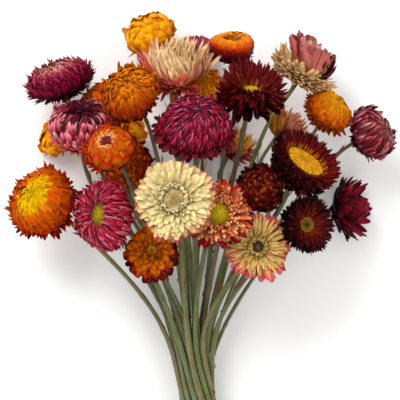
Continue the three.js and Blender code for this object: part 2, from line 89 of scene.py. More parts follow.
def make_object(name, sheet, mat, cells, sharp=62):
    v = np.concatenate(sheet.v)
    q = np.concatenate(sheet.f4) if sheet.f4 else np.zeros((0, 4), int)
    t = np.concatenate(sheet.f3) if sheet.f3 else np.zeros((0, 3), int)
    me = bpy.data.meshes.new(name)
    me.vertices.add(len(v))
    me.vertices.foreach_set("co", v.astype(np.float32).ravel())
    loops = np.concatenate([q.ravel(), t.ravel()]).astype(np.int32)
    me.loops.add(len(loops))
    me.loops.foreach_set("vertex_index", loops)
    starts = np.concatenate([np.arange(len(q)) * 4, len(q) * 4 + np.arange(len(t)) * 3])
    me.polygons.add(len(q) + len(t))
    me.polygons.foreach_set("loop_start", starts.astype(np.int32))
    me.update(calc_edges=True)
    me.validate()
    me.polygons.foreach_set("use_smooth", np.ones(len(me.polygons), bool))
    me.set_sharp_from_angle(angle=math.radians(sharp))
    col = me.attributes.new("petal_colour", "FLOAT_COLOR", "POINT")
    c = np.concatenate(sheet.c)
    col.data.foreach_set("color", np.c_[c, np.ones(len(c))].astype(np.float32).ravel())
    pt = me.attributes.new("petal_place", "FLOAT_VECTOR", "POINT")
    pt.data.foreach_set("vector", np.concatenate(sheet.p).astype(np.float32).ravel())
    # each petal has a cell of its own on the map
    side = max(1, math.ceil(math.sqrt(cells)))
    uvq = np.concatenate(sheet.uv4).reshape(-1, 3) if sheet.uv4 else np.zeros((0, 3))
    uvt = np.concatenate(sheet.uv3).reshape(-1, 3) if sheet.uv3 else np.zeros((0, 3))
    uv = np.concatenate([uvq, uvt])
    cell = uv[:, 0].astype(int)
    place = np.c_[
        (cell % side + 0.06 + 0.88 * uv[:, 1]) / side,
        (cell // side + 0.06 + 0.88 * uv[:, 2]) / side,
    ]
    layer = me.uv_layers.new(name="OFBake")
    layer.data.foreach_set("uv", place.astype(np.float32).ravel())
    ob = bpy.data.objects.new(name, me)
    bpy.context.scene.collection.objects.link(ob)
    me.materials.append(mat)
    return ob


# ---------------------------------------------------------------- petals
# A head grows by one of two kinds of table. ROWS tables give, down the head: share, then (out, up) of a petal's base,
# bend and tip, its half width, how pointed it is, how cupped and how curled. Out is in shares of the head's full
# spread; up is in shares of its height above the rim, or of its depth below it.
ROWS = {
    # flat and open round a disc
    "ray": [
        [0.00, 0.23, 0.30, 0.36, 0.95, 0.27, 1.16, 0.040, 0.6, 0.6, 0.14],
        [0.20, 0.24, 0.22, 0.44, 1.05, 0.36, 1.16, 0.044, 0.6, 0.6, 0.14],
        [0.30, 0.24, 0.15, 0.48, 1.02, 0.64, 1.04, 0.062, 0.5, 0.4, 0.05],
        [0.42, 0.23, 0.05, 0.52, 0.94, 0.84, 0.93, 0.074, 0.45, 0.3, 0.0],
        [0.60, 0.22, -0.15, 0.57, 0.68, 0.94, 0.68, 0.082, 0.42, 0.3, 0.0],
        [0.76, 0.19, -0.40, 0.62, 0.24, 0.98, 0.34, 0.092, 0.42, 0.3, -0.02],
        [0.87, 0.16, -0.60, 0.62, -0.30, 0.98, -0.08, 0.100, 0.45, 0.3, -0.04],
        [0.94, 0.13, -0.85, 0.45, -0.80, 0.78, -0.42, 0.100, 0.6, 0.3, 0.0],
        [1.00, 0.09, -0.97, 0.28, -0.97, 0.42, -0.72, 0.080, 0.8, 0.4, 0.0],
    ],
    # a shallow bowl of fine petals that all reach toward the rim
    "saucer": [
        [0.00, 0.27, 0.15, 0.38, 0.62, 0.42, 0.86, 0.028, 0.8, 0.5, 0.05],
        [0.14, 0.27, 0.10, 0.48, 0.70, 0.62, 0.92, 0.036, 0.8, 0.5, 0.05],
        [0.30, 0.26, 0.00, 0.58, 0.66, 0.80, 0.98, 0.044, 0.75, 0.45, 0.05],
        [0.46, 0.25, -0.15, 0.68, 0.50, 0.93, 0.92, 0.050, 0.7, 0.4, 0.05],
        [0.62, 0.23, -0.35, 0.76, 0.20, 0.99, 0.66, 0.056, 0.65, 0.4, 0.04],
        [0.76, 0.20, -0.55, 0.84, -0.15, 1.00, 0.34, 0.064, 0.6, 0.4, 0.02],
        [0.87, 0.16, -0.75, 0.84, -0.55, 0.99, -0.02, 0.076, 0.6, 0.4, 0.0],
        [0.94, 0.13, -0.88, 0.60, -0.85, 0.86, -0.40, 0.085, 0.65, 0.3, 0.0],
        [1.00, 0.09, -0.97, 0.28, -0.97, 0.45, -0.70, 0.080, 0.8, 0.4, 0.0],
    ],
    # narrow petals standing at every height round an open disc
    "shag": [
        [0.00, 0.28, 0.25, 0.40, 0.95, 0.34, 1.10, 0.032, 0.7, 0.7, 0.16],
        [0.22, 0.28, 0.15, 0.56, 1.00, 0.50, 1.14, 0.040, 0.65, 0.7, 0.16],
        [0.46, 0.27, 0.00, 0.72, 0.85, 0.72, 1.06, 0.046, 0.6, 0.65, 0.14],
        [0.66, 0.24, -0.20, 0.84, 0.48, 0.90, 0.76, 0.052, 0.55, 0.6, 0.10],
        [0.80, 0.21, -0.45, 0.86, 0.00, 1.00, 0.32, 0.060, 0.5, 0.5, 0.04],
        [0.89, 0.17, -0.68, 0.76, -0.48, 0.98, -0.08, 0.076, 0.5, 0.4, -0.02],
        [0.95, 0.13, -0.88, 0.50, -0.82, 0.78, -0.45, 0.090, 0.6, 0.3, 0.0],
        [1.00, 0.09, -0.97, 0.28, -0.97, 0.42, -0.72, 0.080, 0.8, 0.4, 0.0],
    ],
    # straight petals spreading from a narrow foot
    "cone": [
        [0.00, 0.05, -0.60, 0.18, 0.20, 0.08, 0.85, 0.070, 0.7, 0.4, 0.0],
        [0.35, 0.07, -0.78, 0.42, -0.05, 0.46, 0.98, 0.110, 0.65, 0.4, 0.0],
        [0.62, 0.07, -0.88, 0.64, -0.35, 0.80, 0.86, 0.135, 0.6, 0.35, 0.0],
        [0.80, 0.07, -0.94, 0.68, -0.62, 0.96, 0.42, 0.140, 0.6, 0.3, -0.03],
        [0.90, 0.07, -0.97, 0.54, -0.85, 0.86, -0.10, 0.130, 0.6, 0.3, -0.05],
        [1.00, 0.05, -1.00, 0.24, -1.00, 0.42, -0.72, 0.100, 0.8, 0.4, 0.0],
    ],
    # long finger-like petals that stand out like a star
    "star": [
        [0.00, 0.10, -0.55, 0.70, -0.20, 0.84, 0.70, 0.072, 0.55, 0.4, -0.04],
        [0.50, 0.10, -0.80, 0.80, -0.50, 0.99, 0.30, 0.080, 0.55, 0.35, -0.06],
        [0.80, 0.09, -0.92, 0.66, -0.75, 1.00, -0.05, 0.080, 0.55, 0.3, -0.08],
        [1.00, 0.08, -1.00, 0.40, -1.00, 0.72, -0.55, 0.075, 0.7, 0.3, -0.04],
    ],
    # short ragged outer petals bent back toward the stem
    "frill": [
        [0.00, 0.30, -0.55, 0.80, -0.50, 1.00, -0.10, 0.080, 0.55, 0.5, -0.10],
        [0.50, 0.22, -0.75, 0.72, -0.80, 0.96, -0.45, 0.085, 0.5, 0.6, -0.15],
        [1.00, 0.12, -0.92, 0.50, -1.05, 0.74, -0.85, 0.080, 0.5, 0.6, -0.15],
    ],
}
# LAID tables lay the petals over each other on an outline, from its middle down to the stem, as large as it takes to
# cover it. Each row is: share, how far the tip stands off (degrees), how pointed, how cupped, how curled.
LAID = {
    # a closed dome
    "mop": (
        [(0.0, 0.90), (0.12, 0.96), (0.30, 0.99), (0.52, 0.90), (0.73, 0.66), (0.88, 0.32), (0.95, -0.05), (0.93, -0.40), (0.78, -0.68), (0.50, -0.86), (0.20, -0.97)],
        (0.06, 0.1),
        [
            [0.00, 4, 0.8, 0.5, 0.00],
            [0.20, 10, 0.8, 0.5, 0.02],
            [0.45, 14, 0.8, 0.5, 0.02],
            [0.65, 20, 0.75, 0.4, 0.0],
            [0.78, 32, 0.7, 0.3, -0.02],
            [0.88, 46, 0.65, 0.3, -0.03],
            [1.00, 45, 0.7, 0.3, 0.0],
        ],
    ),
    # a shaving-brush dome: fine, straight, pointed
    "fringe": (
        [(0.0, 0.84), (0.15, 0.89), (0.35, 0.90), (0.55, 0.80), (0.72, 0.58), (0.83, 0.28), (0.88, -0.08), (0.86, -0.42), (0.75, -0.70), (0.50, -0.88), (0.20, -0.97)],
        (0.08, 0.0),
        [
            [0.00, 22, 1.2, 0.4, 0.0],
            [0.25, 34, 1.2, 0.4, 0.0],
            [0.50, 44, 1.2, 0.4, 0.0],
            [0.70, 52, 1.1, 0.3, 0.0],
            [0.82, 56, 0.95, 0.3, 0.0],
            [0.91, 54, 0.8, 0.2, 0.0],
            [1.00, 45, 0.8, 0.3, 0.0],
        ],
    ),
    # a thick wall of fine petals that curl over toward a sunken disc
    "ring": (
        [(0.30, 0.56), (0.33, 0.82), (0.44, 0.97), (0.60, 0.99), (0.76, 0.84), (0.89, 0.52), (0.96, 0.12), (0.96, -0.28), (0.84, -0.62), (0.55, -0.84), (0.22, -0.97)],
        (0.25, 0.0),
        [
            [0.00, 6, 0.7, 0.5, 0.0],
            [0.25, 10, 0.65, 0.5, 0.02],
            [0.50, 12, 0.6, 0.5, 0.02],
            [0.70, 16, 0.5, 0.4, 0.02],
            [0.82, 24, 0.45, 0.3, 0.0],
            [0.91, 36, 0.5, 0.3, 0.0],
            [1.00, 35, 0.7, 0.3, 0.0],
        ],
    ),
    # a dome of scales
    "scale": (
        [(0.0, 0.98), (0.15, 0.99), (0.34, 0.95), (0.56, 0.82), (0.76, 0.56), (0.91, 0.22), (0.96, -0.12), (0.92, -0.44), (0.76, -0.70), (0.50, -0.86), (0.20, -0.97)],
        (0.05, 0.0),
        [
            [0.00, 3, 0.7, 0.3, 0.0],
            [0.20, 9, 0.7, 0.3, 0.0],
            [0.45, 14, 0.7, 0.3, 0.0],
            [0.65, 20, 0.65, 0.3, 0.0],
            [0.78, 30, 0.65, 0.3, 0.0],
            [0.89, 42, 0.65, 0.2, 0.0],
            [1.00, 40, 0.7, 0.2, 0.0],
        ],
    ),
    # broad petals that close over a narrow mouth
    "globe": (
        [(0.15, 0.60), (0.20, 0.88), (0.40, 0.99), (0.62, 0.90), (0.82, 0.60), (0.94, 0.20), (0.97, -0.20), (0.86, -0.58), (0.60, -0.84), (0.28, -0.96)],
        (0.14, 0.0),
        [
            [0.00, -4, 0.5, 0.3, 0.0],
            [0.22, 0, 0.5, 0.26, 0.0],
            [0.50, 5, 0.45, 0.22, 0.0],
            [0.74, 14, 0.45, 0.2, 0.0],
            [0.88, 34, 0.5, 0.2, 0.0],
            [1.00, 45, 0.6, 0.2, 0.0],
        ],
    ),
    # a bowl of middling petals, closing toward a wide mouth
    "bowl": (
        [(0.32, 0.40), (0.36, 0.76), (0.50, 0.97), (0.68, 0.93), (0.84, 0.66), (0.95, 0.26), (0.98, -0.14), (0.90, -0.52), (0.66, -0.80), (0.32, -0.95)],
        (0.24, 0.0),
        [
            [0.00, 2, 0.6, 0.4, 0.0],
            [0.18, 3, 0.5, 0.35, 0.0],
            [0.38, 5, 0.5, 0.3, 0.0],
            [0.62, 9, 0.5, 0.3, 0.0],
            [0.80, 16, 0.5, 0.25, 0.0],
            [0.91, 32, 0.55, 0.2, 0.0],
            [1.00, 40, 0.7, 0.2, 0.0],
        ],
    ),
}


def spline(P, per):
    """A smooth line through every point, with per steps between two."""
    P = np.asarray(P, float)
    E = np.vstack([2 * P[0] - P[1], P, 2 * P[-1] - P[-2]])
    out = []
    for i in range(1, len(E) - 2):
        p0, p1, p2, p3 = E[i - 1], E[i], E[i + 1], E[i + 2]
        for k in range(per):
            t = k / per
            out.append(0.5 * (2 * p1 + (p2 - p0) * t + (2 * p0 - 5 * p1 + 4 * p2 - p3) * t**2 + (3 * p1 - p0 - 3 * p2 + p3) * t**3))
    out.append(E[-2])
    return np.array(out)


STATIONS = np.array([0.0, 0.30, 0.55, 0.80, 1.0])  # where along a petal its five path points stand


class Outline:
    """A form's outline at its real size, with places on it by length from its middle."""

    def __init__(self, form, R, up, down, rd=None):
        o = np.array(LAID[form][0], float)
        if rd:
            o[:, 0] = np.where(o[:, 1] > -0.5, rd + (o[:, 0] - o[0, 0]) * (0.96 - rd) / (0.96 - o[0, 0]), o[:, 0])
        line = spline(np.c_[o[:, 0] * R, np.where(o[:, 1] > 0, o[:, 1] * up, o[:, 1] * down)], 8)
        line[:, 0] = np.maximum(line[:, 0], 0)
        self.R, self.line = R, line
        self.seg = np.linalg.norm(np.diff(line, axis=0), axis=1)
        self.arc = np.r_[0, np.cumsum(self.seg)]
        slope = np.gradient(line, axis=0)
        self.slope = slope / (np.linalg.norm(slope, axis=1)[:, None] + 1e-12)

    def on(self, x, depth):
        """The point depth (in shares of the spread) inside the outline at length x, and the way out of it."""
        x = np.clip(x, 0, self.arc[-1])
        T = np.c_[np.interp(x, self.arc, self.slope[:, 0]), np.interp(x, self.arc, self.slope[:, 1])]
        N = np.c_[-T[:, 1], T[:, 0]]
        return np.c_[np.interp(x, self.arc, self.line[:, 0]), np.interp(x, self.arc, self.line[:, 1])] - N * depth * self.R, N


def laid(form, t, R, up, down, n, slim=0.6, long=1.0, flare=0.0, rd=None, lift=0.014, sunk=0.05, even=0.5):
    """The path of each petal at share t down the head, with its place on the outline, half width, point, cup, curl and
    length as a share of the outline. n is how many petals share the whole outline; slim makes them narrower and as much longer."""
    _, (r0, z0), keys = LAID[form]
    keys = np.array(keys, float)
    if rd:
        r0 = rd * 0.9
    o = Outline(form, R, up, down, rd)
    mean_r = (o.line[:-1, 0] + o.line[1:, 0]) / 2
    part = o.seg * (mean_r / R + 0.01) ** even
    load = np.r_[0, np.cumsum(part)]
    a = np.interp(t, load / load[-1], o.arc)
    d = a / o.arc[-1]  # place down the outline
    # the room each petal has on the outline
    room = np.sqrt(2 * np.pi * np.maximum(mean_r, 0.015 * R) * o.seg / (n * part / load[-1]))
    D = np.interp(a, (o.arc[:-1] + o.arc[1:]) / 2, room)
    g = lambda k: np.interp(d, keys[:, 0], keys[:, k])
    half = 0.75 * slim * D
    L = np.minimum(2.6 * D / slim * long, 0.95 * R)
    Q1, _ = o.on(a + L, sunk)
    Q2, _ = o.on(a + 0.62 * L, 0.4 * sunk)
    Q3, N3 = o.on(a + 0.27 * L, -0.3 * lift)
    f = np.radians(g(1) + flare)[:, None]
    tip, _ = o.on(a, -lift)
    ahead = tip - Q3
    reach = np.linalg.norm(ahead, axis=1)[:, None] + 1e-9
    ahead /= reach
    side = np.c_[ahead[:, 1], -ahead[:, 0]]
    reach = np.maximum(reach, 0.2 * L[:, None])
    # the last half turns off the outline by the angle f
    Q4 = Q3 + (ahead * np.cos(f) + side * np.sin(f)) * reach
    Q3 = Q3 + N3 * (0.25 * np.sin(f)) * reach
    bz = z0 * (1 - d) + -0.95 * d**0.8
    Q0 = np.c_[(r0 * (1 - d) + 0.09 * d) * R, np.where(bz > 0, bz * up, bz * down)]
    return np.stack([Q0, Q1, Q2, Q3, Q4], 1), d, half, g(2), g(3), g(4), L / o.arc[-1]


def bent(P0, P1, P2):
    """The same five points on a plain bend through base, bend and tip."""
    s = STATIONS[None, :, None]
    return (1 - s) ** 2 * P0[:, None] + 2 * s * (1 - s) * P1[:, None] + s**2 * P2[:, None]


def along(Q, s):
    """Place and direction at s on each path, by a smooth line through its five points."""
    k = np.clip(np.searchsorted(STATIONS, s, side="right") - 1, 0, 3)
    h = STATIONS[k + 1] - STATIONS[k]
    x = ((s - STATIONS[k]) / h)[None, :, None]
    d = np.empty_like(Q)
    w = np.diff(STATIONS)
    step = np.diff(Q, axis=1) / w[None, :, None]
    d[:, 1:-1] = (step[:, :-1] * w[None, 1:, None] + step[:, 1:] * w[None, :-1, None]) / (w[:-1] + w[1:])[None, :, None]
    d[:, 0] = 2 * step[:, 0] - d[:, 1]
    d[:, -1] = 2 * step[:, -1] - d[:, -2]
    a, b, da, db = Q[:, k], Q[:, k + 1], d[:, k] * h[None, :, None], d[:, k + 1] * h[None, :, None]
    place = (2 * x**3 - 3 * x**2 + 1) * a + (x**3 - 2 * x**2 + x) * da + (3 * x**2 - 2 * x**3) * b + (x**3 - x**2) * db
    way = (6 * x**2 - 6 * x) * a + (3 * x**2 - 4 * x + 1) * da + (6 * x - 6 * x**2) * b + (3 * x**2 - 2 * x) * db
    return place, way / (np.linalg.norm(way, axis=2, keepdims=True) + 1e-12)


def petal_grid(ns, nu):
    """Faces of one closed petal: ns rows of nu places, the last row one tip, and an underside on the same rim."""
    top = lambda i, j: (ns - 1) * nu if i == ns - 1 else i * nu + j
    first = (ns - 1) * nu + 1

    def low(i, j):
        if i in (0, ns - 1) or j in (0, nu - 1):
            return top(i, j)
        return first + (i - 1) * (nu - 2) + (j - 1)

    quads, tris, uvq, uvt = [], [], [], []
    place = lambda i, j: (j / (nu - 1) if i < ns - 1 else 0.5, i / (ns - 1))
    for side, at in ((0, top), (1, low)):
        for i in range(ns - 2):
            for j in range(nu - 1):
                ring = [(i, j), (i + 1, j), (i + 1, j + 1), (i, j + 1)]
                ring = ring[::-1] if side else ring
                quads.append([at(*k) for k in ring])
                uvq.append([(side, *place(*k)) for k in ring])
        for j in range(nu - 1):
            ring = [(ns - 2, j), (ns - 1, 0), (ns - 2, j + 1)]
            ring = ring[::-1] if side else ring
            tris.append([at(*k) for k in ring])
            uvt.append([(side, *place(*k)) for k in ring])
    rows = np.r_[np.repeat(np.arange(ns - 1), nu), ns - 1, np.repeat(np.arange(1, ns - 1), nu - 2)]
    cols = np.r_[np.tile(np.arange(nu), ns - 1), nu // 2, np.tile(np.arange(1, nu - 1), ns - 2)]
    under = np.r_[np.zeros((ns - 1) * nu + 1), np.ones((ns - 2) * (nu - 2))]
    return (
        np.array(quads),
        np.array(tris),
        np.array(uvq, float),
        np.array(uvt, float),
        rows / (ns - 1),
        cols / (nu - 1) * 2 - 1,
        under,
    )


GRIDS = {"broad": petal_grid(12, 7), "large": petal_grid(8, 5), "small": petal_grid(6, 3)}
# where each row stands: closer toward the tip, so that a blunt tip stays round
ROWS_AT = {"broad": np.array([0, 0.16, 0.30, 0.44, 0.56, 0.67, 0.76, 0.84, 0.90, 0.945, 0.98, 1.0]), "large": np.array([0, 0.24, 0.44, 0.62, 0.77, 0.88, 0.955, 1.0]), "small": np.array([0, 0.34, 0.60, 0.80, 0.93, 1.0])}


def petals(sheet, grid, cell, at, path, phi, half, point, cup, curl, twist, bend, ripple, thick, colours, seed, settle=lambda V: V, widest=0.6):
    """Adds one closed petal for each entry. at is (centre, ex, ey, ez); path holds each petal's five (out, up) points.
    colours(index, s, u, under) gives each vertex's colour."""
    quads, tris, uvq, uvt, s, u, under = GRIDS[grid]
    rows = ROWS_AT[grid]
    s = rows[np.round(s * (len(rows) - 1)).astype(int)]
    C, ex, ey, ez = at
    n = len(phi)
    if not n:
        return cell
    S = s[None, :]
    U = u[None, :]
    col = lambda a: np.asarray(a, float)[:, None]
    place, way = along(path, s)
    r, z = place[..., 0], place[..., 1]
    dr, dz = way[..., 0], way[..., 1]
    length = np.linalg.norm(np.diff(path, axis=1), axis=2).sum(1)
    er = np.cos(phi)[:, None] * ex + np.sin(phi)[:, None] * ey
    et = -np.sin(phi)[:, None] * ex + np.cos(phi)[:, None] * ey
    M = C + r[..., None] * er[:, None] + z[..., None] * ez
    N = -dz[..., None] * er[:, None] + dr[..., None] * ez
    # curl lifts the tip toward the head's middle, bend swings it sideways
    M = M + N * (col(curl) * col(length) * smooth(0.55, 1.0, S) ** 1.5)[..., None]
    M = M + et[:, None] * (col(bend) * col(length) * S**2)[..., None]
    a = col(twist) * S
    W = np.cos(a)[..., None] * et[:, None] + np.sin(a)[..., None] * N
    N = np.cos(a)[..., None] * N - np.sin(a)[..., None] * et[:, None]
    sm = widest
    wide = np.where(
        S < sm,
        0.42 + 0.58 * np.sin(np.pi / 2 * np.clip(S / sm, 0, 1)),
        np.cos(np.pi / 2 * np.clip((S - sm) / (1 - sm), 0, 1)) ** col(point),
    )
    w = col(half) * wide
    rim = np.sin(S * 11 + col(seed) * 40) * 0.5 + np.sin(S * 23 + col(seed) * 90 + U * 2) * 0.5
    lift = col(cup) * w * U**2 * (0.4 + 0.6 * smooth(0.0, 0.5, S)) + rim * col(ripple) * w * np.abs(U)
    V = M + W * (U * w * (1 - 0.22 * col(cup) * U**2))[..., None] + N * lift[..., None]
    V = V - N * (under[None, :] * thick * (1 - U**2) * 1.0)[..., None]
    V = settle(V)
    k = V.shape[1]
    idx = np.repeat(np.arange(n), k)
    colour = colours(idx, np.tile(s, n), np.tile(u, n), np.tile(under, n))
    paint = np.c_[np.tile(s, n), np.tile(u, n), np.repeat(seed, k)]
    off = (np.arange(n) * k)[:, None, None]
    q = (quads[None] + off).reshape(-1, 4)
    t = (tris[None] + off).reshape(-1, 3)
    cells = cell + 2 * np.arange(n)[:, None, None]
    uq = np.broadcast_to(uvq[None], (n,) + uvq.shape).copy()
    uq[..., 0] += cells
    ut = np.broadcast_to(uvt[None], (n,) + uvt.shape).copy()
    ut[..., 0] += cells
    sheet.add(V.reshape(-1, 3), q, t, colour, paint, uq.reshape(-1, 4, 3), ut.reshape(-1, 3, 3))
    return cell + 2 * n


def lathe(sheet, at, outline, sides, colour, cell, seed, rough=0.0, settle=lambda V: V):
    """A closed turned body from an outline of (out, up) that starts and ends on the axis."""
    C, ex, ey, ez = at
    o = np.asarray(outline, float)
    a = np.arange(sides) / sides * 2 * np.pi
    ring = np.cos(a)[:, None] * ex + np.sin(a)[:, None] * ey
    v = [C + ez * o[0, 1]]
    for rr, zz in o[1:-1]:
        k = 1 + rough * np.sin(a * 5 + zz * 900) + rough * 0.6 * np.sin(a * 8 + zz * 1500)
        v.extend(C + ring * rr * k[:, None] + ez * zz)
    v.append(C + ez * o[-1, 1])
    m = len(o) - 2
    q, t, uq, ut = [], [], [], []
    at_ = lambda i, j: 1 + i * sides + j % sides
    p = lambda i, j: (cell, j / sides, (i + 1) / (m + 1))
    for j in range(sides):
        t.append([0, at_(0, j + 1), at_(0, j)])
        ut.append([p(-1, j), p(0, j + 1), p(0, j)])
        for i in range(m - 1):
            q.append([at_(i, j), at_(i, j + 1), at_(i + 1, j + 1), at_(i + 1, j)])
            uq.append([p(i, j), p(i, j + 1), p(i + 1, j + 1), p(i + 1, j)])
        t.append([len(v) - 1, at_(m - 1, j), at_(m - 1, j + 1)])
        ut.append([p(m, j), p(m - 1, j), p(m - 1, j + 1)])
    v = settle(np.array(v))
    f = np.r_[0, np.repeat(np.arange(1, m + 1), sides), m + 1] / (m + 1)
    c = np.array([colour(x) for x in f])
    sheet.add(v, np.array(q), np.array(t), c, np.c_[f, np.zeros(len(v)), np.full(len(v), seed)], np.array(uq, float), np.array(ut, float))
    return cell + 1


def florets(sheet, at, radius, low, high, n, size, inner, outer, rng, cell, dimple=0.0, settle=lambda V: V):
    """A dome of small open tubes, from height low at its edge to high in the middle (high may be below low)."""
    C, ex, ey, ez = at
    i = np.arange(n)
    f = np.sqrt((i + 0.5) / n)
    phi = i * GOLDEN + rng.normal(0, 0.05, n)
    r = f * radius
    z = high + (low - high) * f**2 + rng.normal(0, size * 0.22, n) - dimple * radius * np.exp(-((f / 0.22) ** 2))
    sides = 6
    a = np.arange(sides) / sides * 2 * np.pi
    slope = np.clip(2 * (high - low) * f / max(radius, 1e-6), -1.2, 1.2)
    er = np.cos(phi)[:, None] * ex + np.sin(phi)[:, None] * ey
    et = -np.sin(phi)[:, None] * ex + np.cos(phi)[:, None] * ey
    up = ez + er * slope[:, None]
    up /= np.linalg.norm(up, axis=1)[:, None]
    side = np.cross(et, up)
    P = C + er * r[:, None] + ez * z[:, None]
    sz = size * rng.uniform(0.8, 1.2, n)
    rows = [(-2.6, 0.55), (0.0, 0.75), (0.55, 1.0), (0.35, 0.45)]
    v = []
    for h, k in rows:
        star = 1 + (0.18 if h > 0.5 else 0) * np.cos(a * 3)
        ringv = (
            P[:, None]
            + up[:, None] * (h * sz)[:, None, None]
            + (side[:, None] * np.cos(a)[None, :, None] + et[:, None] * np.sin(a)[None, :, None]) * (k * sz)[:, None, None] * star[None, :, None]
        )
        v.append(ringv)
    v = np.concatenate(v, axis=1)  # n, 4*sides
    mid = (P - up * (0.25 * sz)[:, None])[:, None]
    foot = (P - up * (2.9 * sz)[:, None])[:, None]
    v = settle(np.concatenate([v, mid, foot], axis=1))
    q, t, uq, ut = [], [], [], []
    for j in range(sides):
        k = (j + 1) % sides
        for b in range(3):
            q.append([b * sides + j, b * sides + k, (b + 1) * sides + k, (b + 1) * sides + j])
            y0, y1 = b / 4, (b + 1) / 4
            uq.append([(0, j / sides, y0), (0, (j + 1) / sides, y0), (0, (j + 1) / sides, y1), (0, j / sides, y1)])
        t.append([3 * sides + j, 3 * sides + k, 4 * sides])
        ut.append([(0, j / sides, 0.75), (0, (j + 1) / sides, 0.75), (0, (j + 0.5) / sides, 1)])
        t.append([4 * sides + 1, k, j])
        ut.append([(0, (j + 0.5) / sides, 0), (0, (j + 1) / sides, 0.02), (0, j / sides, 0.02)])
    nv = v.shape[1]
    off = (np.arange(n) * nv)[:, None, None]
    Q = (np.array(q)[None] + off).reshape(-1, 4)
    T = (np.array(t)[None] + off).reshape(-1, 3)
    # the winding above runs with side x et
    base = lin(inner)[None] * (1 - f[:, None]) + lin(outer)[None] * f[:, None]
    base = base * np.exp(rng.normal(0, 0.16, n))[:, None]
    # painted shade: each floret is darker down its sides, inside its mouth and at its foot, and lightest at its lip
    shade = np.r_[np.full(sides, 0.35), np.full(sides, 0.7), np.full(sides, 1.1), np.full(sides, 0.5), 0.3, 0.3]
    c = (base[:, None] * shade[None, :, None]).reshape(-1, 3)
    seed = rng.uniform(0, 1, n)
    paint = np.c_[np.tile(np.r_[np.zeros(sides), np.full(sides, 0.4), np.full(sides, 1.0), np.full(sides, 0.8), 0.5, 0.0], n), np.zeros(n * nv), np.repeat(seed, nv)]
    uvq = np.broadcast_to(np.array(uq, float)[None], (n, len(q), 4, 3)).copy()
    uvt = np.broadcast_to(np.array(ut, float)[None], (n, len(t), 3, 3)).copy()
    # nine florets share a cell of the map
    k = np.arange(n)
    for arr in (uvq, uvt):
        arr[..., 0] = (cell + k // 9)[:, None, None]
        arr[..., 1] = ((k % 3)[:, None, None] + 0.08 + 0.84 * arr[..., 1]) / 3
        arr[..., 2] = ((k // 3 % 3)[:, None, None] + 0.08 + 0.84 * arr[..., 2]) / 3
    sheet.add(v.reshape(-1, 3), Q, T, c, paint, uvq.reshape(-1, 4, 3), uvt.reshape(-1, 3, 3))
    return cell + (n + 8) // 9
